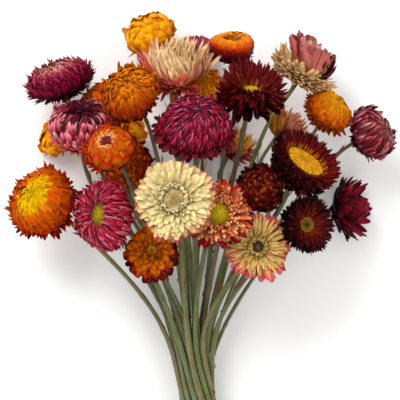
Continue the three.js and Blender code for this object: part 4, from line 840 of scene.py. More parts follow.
# name, diameter and the line from the head down to the cut end, in millimetres
STEMS = [
    ("crimson_fringed", 3, [(-90.94, 120.45, 37.3), (-86.67, 109.38, 32.96), (-81.68, 97.46, 29.67), (-74.02, 80.53, 26.53), (-61.31, 53.66, 22.86), (-48.41, 26.75, 19.98), (-36.14, 0.08, 17.93), (-28.47, -18.75, 17.06), (-23.38, -33.98, 16.79), (-19.83, -48.15, 16.91), (-16.98, -64.51, 17.53), (-12.93, -93.93, 19.7), (-8.43, -118.43, 21.72), (-2.43, -146.74, 24), (0.42, -159.97, 25.07)]),
    ("golden_cup", 3.2, [(-31.08, 152.19, 25.06), (-27.86, 146.46, 20.33), (-25.67, 140.94, 17.18), (-23.78, 133.91, 14.57), (-22.23, 125.39, 12.69), (-20.66, 112.51, 11.32), (-18.62, 90.4, 10.51), (-16.12, 60.85, 10.63), (-13.58, 31.54, 11.34), (-11.18, 2.14, 12.15), (-9.76, -23.92, 12.58), (-9.73, -43.25, 12.49), (-10.97, -63.79, 12.05), (-14.16, -93.34, 11.59), (-17.24, -122.64, 11.71), (-20.13, -152.32, 12.09), (-21.96, -171.28, 12.36)]),
    ("rose_small", 2.6, [(-4.55, 142.55, 8.72), (-5, 132.95, 5.32), (-5.26, 123.38, 3.31), (-5.37, 112.85, 2.37), (-5.3, 96.97, 2.55), (-4.9, 71.36, 4.41), (-4.27, 41.56, 7.58), (-3.76, 12.08, 10.8), (-3.78, -11.4, 12.62), (-4.33, -28.81, 12.99), (-5.43, -44.14, 12.28), (-7.67, -62.24, 10.43), (-11.17, -81.46, 8.41), (-15.42, -100.44, 7.49), (-22.37, -128.95, 7.62), (-29.5, -157.64, 8.15)]),
    ("cream_pink_side", 3.8, [(-18, 123.78, 52.65), (-17.7, 114.37, 47.81), (-17.19, 104.43, 44.22), (-16.31, 92.06, 41.22), (-14.1, 66.93, 37.02), (-11.24, 37.48, 32.89), (-8.4, 8.24, 28.86), (-6.16, -21.34, 24.42), (-5.54, -43.38, 20.69), (-6.03, -67.54, 16.82), (-6.6, -93.99, 13.98), (-6.8, -123.62, 11.66), (-6.94, -152.77, 9.58), (-6.99, -160.85, 9.01)]),
    ("orange_dome", 3.2, [(-43.51, 112.9, 72.59), (-40.58, 108.63, 65.96), (-38.25, 104.1, 61.16), (-35.87, 98.22, 56.73), (-33.44, 90.51, 52.61), (-30.02, 77.25, 47.24), (-25.61, 57.2, 40.57), (-20.9, 32.52, 33.61), (-16.99, 8.94, 28.06), (-14, -11.62, 24.3), (-11.76, -29.58, 22.14), (-9.7, -47.97, 21.16), (-5.91, -77.59, 20.86), (-2.6, -100.15, 19.65), (1.49, -129.46, 16.69), (5.42, -158.7, 13.34), (6.36, -165.72, 12.53)]),
    ("amber_small", 2.6, [(-65.73, 111.38, 31.02), (-63.22, 107.62, 28.28), (-61.82, 104.01, 24.95), (-60.74, 97.55, 18.69), (-59.5, 92.86, 15.52), (-57.48, 87.1, 13.07), (-54.15, 78.67, 10.98), (-49.79, 67.77, 9.69), (-44.33, 53.53, 9.4), (-37.54, 34.51, 10.37), (-29.2, 8.53, 12.83), (-22.37, -16.12, 15.14), (-17.64, -36.95, 16.54), (-14.31, -56.58, 17.32), (-11.59, -80.12, 17.58), (-8.91, -109.65, 17.42), (-6.33, -139.46, 17.54), (-3.76, -169.11, 17.77)]),
    ("mauve_cup", 3.2, [(-79.31, 85.42, 49.98), (-79.12, 78.28, 45.38), (-77.91, 71.55, 41.85), (-75.62, 64.27, 38.75), (-71.35, 54.69, 35.48), (-63.35, 39.71, 31.22), (-51.43, 19.5, 26.45), (-39.7, -0.02, 22.94), (-31.27, -15, 21.24), (-25.28, -27.19, 20.71), (-20.99, -37.96, 20.99), (-17.58, -49.49, 22.05), (-11.81, -76.23, 25.09), (-8.26, -89.92, 25.63), (-3.44, -105.61, 25.1), (3.49, -126.21, 23.01), (13.06, -153.9, 19.31), (16.57, -164.06, 17.92)]),
    ("yellow_small", 2.6, [(-93, 88.97, 5.54), (-88.38, 86.58, 2.95), (-84.23, 83.9, 1.68), (-78.93, 79.54, 1.38), (-72.63, 72.9, 1.76), (-63.79, 61.26, 2.51), (-52.38, 43.84, 3.62), (-40.52, 23.43, 5.17), (-30.7, 4.29, 6.98), (-23.58, -11.94, 8.8), (-18.8, -25.63, 10.43), (-15.84, -37.77, 11.84), (-14.25, -49.34, 13.03), (-13.77, -63.4, 14.18), (-14.47, -93.04, 15.76), (-15.2, -122.82, 16.87), (-15.82, -152.67, 17.83), (-16.04, -163.61, 18.18)]),
    ("gold_small", 2.6, [(-53.78, 89.93, 20.75), (-55.95, 85.37, 16.8), (-57.03, 81.08, 14.21), (-57.3, 75.77, 12.07), (-56.6, 70.03, 10.56), (-54.39, 61.92, 9.33), (-49.82, 49.72, 8.43), (-42.62, 33.45, 8.24), (-32.79, 12.8, 9.2), (-24.17, -6.07, 11.1), (-18.33, -21.13, 13.22), (-14.58, -33.81, 15.16), (-12.01, -46.77, 16.94), (-10.3, -61.27, 18.21), (-8.57, -79.15, 18.57), (-5.86, -106.15, 17.57), (-3.68, -135.62, 15.69), (-2.12, -159.33, 14.09)]),
    ("orange_red_cup", 3, [(-56.01, 77.65, 74.94), (-53.47, 73.11, 68.57), (-50.99, 68, 63.53), (-48.16, 61.41, 58.82), (-43.94, 50.53, 53.04), (-37.23, 32.13, 45.02), (-30.01, 11.47, 37.36), (-23.72, -7.06, 31.74), (-18.54, -22.75, 28.17), (-13.84, -37.65, 26), (-8.98, -54.54, 24.86), (-3.21, -78.14, 23.98), (1.79, -100.96, 21.95), (8.83, -129.39, 18.37), (15.71, -155.26, 14.88)]),
    ("russet", 3, [(-52.44, 73.57, 33.45), (-53.68, 72.83, 28.02), (-54.14, 71.38, 24.37), (-54.03, 68.95, 21.41), (-53.36, 65.6, 19.09), (-51.93, 60.77, 17.34), (-49.1, 52.83, 16.04), (-43.91, 39.52, 15.4), (-35.62, 19.04, 15.96), (-25.29, -7.39, 17.9), (-18.99, -26.16, 19.49), (-15.05, -41.49, 20.6), (-12.31, -57.53, 21.38), (-8.82, -83.86, 21.85), (-4.75, -108.65, 20.95), (0.74, -137.89, 19.27), (7.11, -170.35, 17.27)]),
    ("large_orange", 3.6, [(-100.64, 44.87, 44.09), (-97.78, 42.67, 38.84), (-94.64, 40.15, 35.07), (-90.45, 36.66, 31.8), (-85.37, 32.22, 29.28), (-77.29, 24.82, 26.84), (-64.86, 12.73, 24.46), (-51.74, -1.19, 22.74), (-40.99, -14.11, 21.73), (-33.03, -25.42, 21.18), (-27.43, -35.3, 20.92), (-23, -45.72, 20.86), (-19.28, -57.79, 21.15), (-13.64, -82.5, 22.79), (-8.61, -102.38, 24.17), (-3.67, -117.99, 24.58), (3.06, -135.78, 24.11), (14.39, -163.35, 22.52), (17.83, -171.62, 22)]),
    ("crimson_open", 3.8, [(-58.04, 38.88, 79.41), (-55.14, 38.03, 73.43), (-52.64, 36.21, 68.78), (-49.77, 32.94, 63.95), (-46.51, 27.81, 58.95), (-41.67, 18.55, 52.08), (-35.64, 5.51, 44.04), (-29.77, -8.29, 36.93), (-24.71, -21.05, 31.66), (-20.54, -32.26, 28.27), (-16.98, -42.53, 26.42), (-13.32, -54.14, 25.63), (-7.49, -75.81, 26), (-2.57, -93.54, 25.99), (2.53, -108.68, 25.1), (8.91, -125.2, 22.96), (20.04, -152.12, 18.07), (24.14, -161.96, 16.21)]),
    ("large_cream", 4.2, [(-16.43, 46.94, 92.9), (-16.02, 45.57, 86.17), (-15.71, 43.3, 80.99), (-15.4, 39.65, 75.74), (-15.06, 33.86, 69.96), (-14.52, 23.08, 61.47), (-13.8, 8.27, 51.54), (-13, -6.42, 43.08), (-12.16, -19.08, 37.05), (-11.27, -30.13, 33.02), (-10.27, -40.24, 30.58), (-8.94, -50.53, 29.26), (-6.46, -63.89, 28.84), (-2.92, -77.28, 28.39), (1.27, -90.32, 26.99), (5.71, -103.08, 24.38), (11, -117.46, 20.03), (21.39, -143.77, 10.15), (25.7, -154.52, 5.98)]),
    ("burnt_orange", 3.2, [(-33.18, 12.4, 54.69), (-32.91, 11.46, 49.67), (-32.12, 9.88, 46.16), (-30.57, 7.07, 42.81), (-28.28, 2.99, 39.95), (-23.73, -5.34, 36.22), (-16.78, -19.44, 31.48), (-11.35, -32.74, 27.73), (-7.77, -44.43, 24.92), (-5.17, -56.8, 22.63), (-2.23, -75.78, 20.58), (1.83, -105.2, 17.65), (6.08, -134.48, 14.43), (10.4, -160.28, 11.44)]),
    ("magenta_dome", 4, [(-5.02, 91.7, 77.26), (-4.88, 87.14, 70.52), (-4.81, 82.44, 65.69), (-4.8, 76.37, 61.2), (-4.86, 67.7, 56.6), (-5.06, 51.9, 50.15), (-5.36, 28.29, 42.11), (-5.45, 3.2, 34.8), (-5.02, -17.24, 29.87), (-4.03, -33.71, 26.82), (-2.23, -50.1, 24.8), (2.22, -79.29, 22.26), (5.22, -98.81, 19.76), (8.19, -119.83, 15.67), (11.65, -148.15, 9.09), (13.98, -168.14, 4.33)]),
    ("bright_orange_small", 2.6, [(1.22, 120.36, 34.7), (1.18, 116.55, 28.41), (1.1, 112.79, 24.34), (0.94, 107.68, 20.81), (0.71, 101.87, 18.34), (0.36, 93.6, 16.43), (-0.25, 80.36, 14.98), (-1.2, 60.68, 14.35), (-2.67, 30.96, 14.97), (-4.26, 1.25, 16.2), (-6, -26.09, 16.75), (-7.97, -50.45, 16.01), (-10.48, -80.27, 14.51), (-11.86, -110.04, 13.61), (-12.39, -139.83, 12.86), (-12.77, -171.89, 12.12)]),
    ("orange_red_bowl", 3, [(18.69, 140.86, 40.73), (18.34, 130.43, 36.34), (17.66, 119.48, 33.17), (16.53, 106.65, 30.85), (13.89, 82.41, 28.22), (10.3, 52.96, 25.92), (6.5, 23.84, 23.81), (2.44, -5.53, 21.28), (-1.71, -33.8, 17.88), (-6.21, -62.71, 13.5), (-9.31, -84.19, 11.18), (-12.75, -112.64, 9.46), (-15.85, -142.03, 8.32), (-18.77, -170.62, 7.31)]),
    ("burgundy", 3.8, [(29.47, 111.22, 75.87), (28.69, 106.66, 69.06), (27.81, 101.97, 64.12), (26.56, 95.82, 59.5), (24.87, 87.98, 55.37), (21.88, 74.54, 50.15), (16.8, 52.11, 43.16), (10.57, 24.21, 35.72), (4.81, -3.97, 29.08), (1.18, -26.12, 24.49), (-0.83, -45.01, 21.08), (-1.67, -64.66, 17.98), (-1.91, -94.15, 14.22), (-2.16, -123.76, 11.5), (-2.41, -153.03, 9.32), (-2.58, -174.86, 7.74)]),
    ("pink_cup", 3.4, [(61.53, 127.16, 37.68), (57.6, 121.06, 36.33), (53.55, 115.56, 36.23), (46.14, 105.48, 37.6), (41.93, 98.01, 38.16), (37.15, 87.13, 38.04), (31.72, 72.25, 36.93), (25.15, 51.37, 34.3), (17.24, 23.39, 29.64), (9.8, -5.14, 24.2), (3.04, -33.82, 18.74), (-1.43, -56.95, 14.86), (-5.74, -86.12, 10.47), (-10.04, -115.53, 6.9), (-14.57, -144.31, 4.25), (-19.05, -172.26, 1.86)]),
    ("yellow_orange_bud", 2.8, [(79.3, 102.68, 43.62), (75.37, 97.25, 38.45), (71.92, 92.05, 35.13), (67.99, 85.68, 32.5), (63.13, 77.28, 30.58), (55.1, 62.72, 28.91), (41.62, 37.18, 27.61), (28.45, 10.66, 26.76), (19.68, -8.85, 25.7), (13.96, -23.67, 24.25), (10.04, -36.32, 22.32), (7.33, -48.22, 19.82), (4.68, -66.22, 15.1), (1.99, -86.6, 9.95), (-0.77, -102.89, 6.95), (-5.12, -124.76, 4.37), (-11.86, -156.75, 1.55)]),
    ("plum_dome", 3, [(104.33, 89.78, 35.24), (98.29, 86.48, 30.65), (93.14, 82.89, 27.68), (87.53, 78.14, 25.39), (81.26, 71.83, 23.86), (71.99, 61.22, 22.76), (58.75, 44.56, 22.24), (42.36, 22, 22.23), (29.14, 2.01, 22.03), (19.78, -13.74, 21.22), (13.13, -26.6, 19.83), (8.01, -38.4, 17.79), (4.01, -50.06, 15.01), (-1.92, -72.64, 9.03), (-6.07, -89, 5.65), (-10.46, -104.67, 3.6), (-16.78, -125.31, 2.39), (-26.88, -157.12, 1.64)]),
    ("salmon_fan", 2.8, [(48.67, 91.23, 22.72), (43.09, 83.56, 20.34), (38.4, 75.37, 18.91), (34.05, 65.6, 18.14), (27.89, 48.25, 17.77), (19.63, 20.52, 17.61), (12.65, -5.87, 16.88), (7.79, -25.39, 15.31), (3.83, -41.74, 12.84), (-2.31, -65.66, 7.59), (-6.86, -80.88, 4.59), (-12.07, -96.43, 2.68), (-18.8, -114.99, 1.73), (-29.24, -142.68, 1.56), (-35.35, -158.79, 1.6)]),
    ("peach_back", 2.8, [(16.39, 78.35, 8.91), (13.07, 70.84, 6.75), (10.62, 63.2, 5.69), (8.7, 54.46, 5.51), (6.66, 39.83, 6.49), (4.02, 10.4, 9.66), (1.97, -16.3, 12.15), (0.31, -33.25, 12.73), (-1.6, -47.77, 12.17), (-4.76, -66.38, 10.02), (-9.09, -87.74, 7.35), (-13.7, -106.92, 6.06), (-21.41, -135.65, 5.45), (-28.85, -162.61, 5.16)]),
    ("dark_red_gold_eye", 4, [(59.15, 67.47, 79), (56.96, 64.07, 73.84), (55.62, 60.14, 69.78), (54.01, 53.93, 65.2), (51.66, 47.97, 61.73), (46.69, 39.07, 57.18), (36.02, 22.92, 49.68), (21.04, 0.52, 40.23), (12.9, -13.29, 34.99), (7.67, -24.32, 31.2), (4.6, -33.35, 28.32), (2.94, -41.93, 25.7), (2.31, -52.4, 22.69), (3.03, -72.32, 17.55), (3.75, -101.3, 10.69), (3.99, -121.9, 6.85), (4.32, -154.64, 2.15)]),
    ("rust_ball", 3.2, [(38.45, 54.39, 50.56), (39.07, 52.16, 45.16), (38.97, 49.7, 41.69), (38.2, 46.12, 38.63), (36.71, 41.53, 36.26), (33.73, 34.12, 34.02), (27.31, 19.52, 31.33), (15.34, -7.69, 27.6), (9.47, -23.07, 25.17), (5.94, -34.86, 22.78), (3.33, -47.46, 19.64), (0.57, -69.59, 13.81), (-1.57, -85.46, 10.91), (-4.45, -105.39, 8.68), (-8.85, -134.84, 6.8), (-12.67, -160.72, 5.44)]),
    ("maroon", 3.4, [(62.34, 32.62, 69.3), (59.86, 31.59, 63.63), (57.23, 29.86, 59.42), (53.72, 26.97, 55.37), (49.06, 22.46, 51.45), (41.49, 14.26, 46.45), (31.17, 1.9, 40.5), (21.96, -10.69, 35.44), (15.45, -21.36, 31.78), (11, -30.73, 29.05), (8.29, -39.04, 27.03), (6.68, -48.07, 25.23), (6.03, -59.98, 23.1), (6.14, -85.46, 18.02), (5.25, -104.79, 14.22), (2.43, -132.67, 9.42), (-1.4, -164.39, 3.63)]),
    ("wine_star", 3, [(87.54, 43.05, 12.73), (81.52, 42.28, 10.24), (76.62, 40.76, 8.87), (71.24, 38.04, 8.11), (65.68, 34.02, 8.1), (58.19, 27.01, 9.04), (47.82, 15.42, 11.21), (36.05, 0.29, 14.07), (26.65, -13.47, 16.13), (19.49, -25.42, 17.1), (14.22, -35.67, 17.04), (9.9, -45.77, 16.02), (6.22, -56.47, 13.95), (-0.21, -81.06, 7.78), (-4.21, -96.38, 4.86), (-8.98, -112.84, 2.95), (-15.24, -132.9, 1.96), (-24.17, -160.69, 1.69), (-27.22, -170.15, 1.66)]),
    ("salmon_open", 3.6, [(7.65, 39.89, 78.83), (6.94, 38.87, 72.81), (6.19, 37, 68.37), (5.17, 33.75, 63.87), (3.9, 28.93, 59.51), (1.85, 20.05, 53.67), (-0.88, 6.44, 46.42), (-3.32, -8.54, 39.75), (-4.8, -21.97, 34.85), (-5.33, -33.62, 31.56), (-5.01, -43.71, 29.6), (-3.72, -54.53, 28.39), (-0.96, -67.73, 27.61), (3.55, -82.95, 26.66), (9.99, -101.4, 24.55), (15.76, -118.69, 21.51), (21.63, -139.75, 16.7), (27.84, -163.76, 10.83)]),
    ("straw_pink", 3.4, [(35.1, 18.9, 67.71), (34.72, 18.18, 62.53), (33.64, 16.79, 58.75), (31.59, 14.31, 55.07), (28.47, 10.53, 51.55), (22.61, 3.19, 46.9), (14.29, -8.26, 41.23), (7.79, -18.89, 36.78), (3.57, -27.86, 33.56), (1.17, -35.47, 31.36), (0.01, -42.97, 29.72), (0.04, -50.3, 28.59), (1.55, -60.01, 27.54), (5.09, -75.1, 25.34), (8.36, -90.52, 21.92), (11.51, -110.53, 16.47), (14.9, -138.73, 8.09), (17.25, -159.36, 1.87)]),
]


def interp(keys, t, k):
    return np.interp(t, keys[:, 0], keys[:, k])


def petal_material(name, vein=0.35, rough=0.46, mottle=0.22, bump=0.5, spec=0.06):
    """Dry papery petal: the petal's set colour, with its painted highlights and shade, streaked along its length,
    mottled, with paler dry rims and fine raised veins.
    """
    m = bpy.data.materials.new(name)
    m.use_nodes = True
    t = m.node_tree
    t.nodes.clear()
    N, L = t.nodes.new, t.links.new

    def math_(op, a, b=None, clamp=False):
        n = N("ShaderNodeMath")
        n.operation = op
        n.use_clamp = clamp
        for i, x in enumerate((a, b)):
            if x is None:
                continue
            if hasattr(x, "links") or hasattr(x, "is_linked"):
                L(x, n.inputs[i])
            else:
                n.inputs[i].default_value = x
        return n.outputs[0]

    out = N("ShaderNodeOutputMaterial")
    bsdf = N("ShaderNodeBsdfPrincipled")
    L(bsdf.outputs[0], out.inputs[0])
    colour = N("ShaderNodeAttribute")
    colour.attribute_name = "petal_colour"
    place = N("ShaderNodeAttribute")
    place.attribute_name = "petal_place"
    sep = N("ShaderNodeSeparateXYZ")
    L(place.outputs["Vector"], sep.inputs[0])
    s, u, seed = sep.outputs
    # streaks along the petal
    comb = N("ShaderNodeCombineXYZ")
    L(math_("ADD", math_("MULTIPLY", u, 3.2), math_("MULTIPLY", seed, 61.0)), comb.inputs[0])
    L(math_("MULTIPLY", s, 0.9), comb.inputs[1])
    L(math_("MULTIPLY", seed, 23.0), comb.inputs[2])
    streak = N("ShaderNodeTexNoise")
    streak.inputs["Scale"].default_value = 2.6
    streak.inputs["Detail"].default_value = 3.0
    streak.inputs["Roughness"].default_value = 0.6
    L(comb.outputs[0], streak.inputs["Vector"])
    fine = N("ShaderNodeTexWave")
    fine.wave_type = "BANDS"
    fine.bands_direction = "X"
    fine.inputs["Scale"].default_value = 1.5
    fine.inputs["Distortion"].default_value = 1.6
    fine.inputs["Detail"].default_value = 2.0
    L(comb.outputs[0], fine.inputs["Vector"])
    # mottling over the whole head
    obj = N("ShaderNodeTexCoord")
    blot = N("ShaderNodeTexNoise")
    blot.inputs["Scale"].default_value = 230.0
    blot.inputs["Detail"].default_value = 3.0
    L(obj.outputs["Object"], blot.inputs["Vector"])
    # brightness
    b1 = math_("MULTIPLY", math_("SUBTRACT", streak.outputs[0], 0.5), vein * 2.2)
    b2 = math_("MULTIPLY", math_("SUBTRACT", blot.outputs[0], 0.5), mottle * 2.2)
    b3 = math_("MULTIPLY", math_("SUBTRACT", fine.outputs["Fac"], 0.5), vein * 0.45)
    gain = math_("ADD", math_("ADD", math_("ADD", b1, b2), b3), 1.0)
    scale = N("ShaderNodeVectorMath")
    scale.operation = "SCALE"
    L(colour.outputs["Color"], scale.inputs[0])
    L(gain, scale.inputs["Scale"])
    # dry rim
    au = math_("ABSOLUTE", u)
    rim = math_("MULTIPLY", math_("SUBTRACT", au, 0.62), 2.2, clamp=True)
    rim = math_("MULTIPLY", rim, math_("ADD", math_("MULTIPLY", blot.outputs[0], 0.7), -0.1), clamp=True)
    mix = N("ShaderNodeMix")
    mix.data_type = "RGBA"
    mix.blend_type = "SCREEN"
    L(rim, mix.inputs["Factor"])
    L(scale.outputs[0], mix.inputs["A"])
    mix.inputs["B"].default_value = (0.09, 0.04, 0.015, 1)
    L(mix.outputs["Result"], bsdf.inputs["Base Color"])
    ro = math_("ADD", math_("MULTIPLY", blot.outputs[0], 0.28), rough - 0.14)
    L(ro, bsdf.inputs["Roughness"])
    bsdf.inputs["Specular IOR Level"].default_value = spec
    bp = N("ShaderNodeBump")
    bp.inputs["Strength"].default_value = bump
    bp.inputs["Distance"].default_value = 0.00035
    L(math_("ADD", fine.outputs["Fac"], math_("MULTIPLY", streak.outputs[0], 1.3)), bp.inputs["Height"])
    L(bp.outputs[0], bsdf.inputs["Normal"])
    return m


def disc_material(name):
    """Packed florets: the floret's colour, with its painted shade, with small pollen-like grain and matt rough tops."""
    m = bpy.data.materials.new(name)
    m.use_nodes = True
    t = m.node_tree
    t.nodes.clear()
    N, L = t.nodes.new, t.links.new
    out = N("ShaderNodeOutputMaterial")
    bsdf = N("ShaderNodeBsdfPrincipled")
    L(bsdf.outputs[0], out.inputs[0])
    colour = N("ShaderNodeAttribute")
    colour.attribute_name = "petal_colour"
    obj = N("ShaderNodeTexCoord")
    g = N("ShaderNodeTexNoise")
    g.inputs["Scale"].default_value = 1500.0
    g.inputs["Detail"].default_value = 2.0
    L(obj.outputs["Object"], g.inputs["Vector"])
    big = N("ShaderNodeTexNoise")
    big.inputs["Scale"].default_value = 260.0
    L(obj.outputs["Object"], big.inputs["Vector"])
    r = N("ShaderNodeMapRange")
    L(g.outputs[0], r.inputs[0])
    r.inputs[1].default_value, r.inputs[2].default_value = 0.3, 0.7
    r.inputs[3].default_value, r.inputs[4].default_value = 0.65, 1.35
    r2 = N("ShaderNodeMapRange")
    L(big.outputs[0], r2.inputs[0])
    r2.inputs[1].default_value, r2.inputs[2].default_value = 0.3, 0.7
    r2.inputs[3].default_value, r2.inputs[4].default_value = 0.8, 1.2
    mul = N("ShaderNodeMath")
    mul.operation = "MULTIPLY"
    L(r.outputs[0], mul.inputs[0])
    L(r2.outputs[0], mul.inputs[1])
    sc = N("ShaderNodeVectorMath")
    sc.operation = "SCALE"
    L(colour.outputs["Color"], sc.inputs[0])
    L(mul.outputs[0], sc.inputs["Scale"])
    L(sc.outputs[0], bsdf.inputs["Base Color"])
    ro = N("ShaderNodeMapRange")
    L(g.outputs[0], ro.inputs[0])
    ro.inputs[3].default_value, ro.inputs[4].default_value = 0.6, 0.9
    L(ro.outputs[0], bsdf.inputs["Roughness"])
    bsdf.inputs["Specular IOR Level"].default_value = 0.3
    bp = N("ShaderNodeBump")
    bp.inputs["Strength"].default_value = 0.5
    bp.inputs["Distance"].default_value = 0.0002
    L(g.outputs[0], bp.inputs["Height"])
    L(bp.outputs[0], bsdf.inputs["Normal"])
    return m


def stem_material(name):
    """Dried stem: grey-green ridges, browner near the nodes and the cut, matt with fine lengthwise fibres."""
    m = bpy.data.materials.new(name)
    m.use_nodes = True
    t = m.node_tree
    t.nodes.clear()
    N, L = t.nodes.new, t.links.new
    out = N("ShaderNodeOutputMaterial")
    bsdf = N("ShaderNodeBsdfPrincipled")
    L(bsdf.outputs[0], out.inputs[0])
    colour = N("ShaderNodeAttribute")
    colour.attribute_name = "petal_colour"
    place = N("ShaderNodeAttribute")
    place.attribute_name = "petal_place"
    # place holds (length along in cm, turn round, seed)
    mp = N("ShaderNodeMapping")
    mp.inputs["Scale"].default_value = (0.9, 16.0, 31.0)
    L(place.outputs["Vector"], mp.inputs[0])
    fib = N("ShaderNodeTexNoise")
    fib.inputs["Scale"].default_value = 1.4
    fib.inputs["Detail"].default_value = 4.0
    L(mp.outputs[0], fib.inputs["Vector"])
    obj = N("ShaderNodeTexCoord")
    big = N("ShaderNodeTexNoise")
    big.inputs["Scale"].default_value = 60.0
    big.inputs["Detail"].default_value = 4.0
    L(obj.outputs["Object"], big.inputs["Vector"])
    r = N("ShaderNodeMapRange")
    L(fib.outputs[0], r.inputs[0])
    r.inputs[1].default_value, r.inputs[2].default_value = 0.3, 0.7
    r.inputs[3].default_value, r.inputs[4].default_value = 0.48, 1.5
    sc = N("ShaderNodeVectorMath")
    sc.operation = "SCALE"
    L(colour.outputs["Color"], sc.inputs[0])
    L(r.outputs[0], sc.inputs["Scale"])
    mix = N("ShaderNodeMix")
    mix.data_type = "RGBA"
    mix.blend_type = "MULTIPLY"
    r2 = N("ShaderNodeMapRange")
    L(big.outputs[0], r2.inputs[0])
    r2.inputs[1].default_value, r2.inputs[2].default_value = 0.45, 0.7
    L(r2.outputs[0], mix.inputs["Factor"])
    L(sc.outputs[0], mix.inputs["A"])
    mix.inputs["B"].default_value = (0.88, 0.80, 0.58, 1)
    L(mix.outputs["Result"], bsdf.inputs["Base Color"])
    ro = N("ShaderNodeMapRange")
    L(fib.outputs[0], ro.inputs[0])
    ro.inputs[3].default_value, ro.inputs[4].default_value = 0.55, 0.85
    L(ro.outputs[0], bsdf.inputs["Roughness"])
    bsdf.inputs["Specular IOR Level"].default_value = 0.35
    bp = N("ShaderNodeBump")
    bp.inputs["Strength"].default_value = 0.45
    bp.inputs["Distance"].default_value = 0.0003
    L(fib.outputs[0], bp.inputs["Height"])
    L(bp.outputs[0], bsdf.inputs["Normal"])
    return m


DISC = disc_material("dry_florets")
STEM = stem_material("dry_stem")


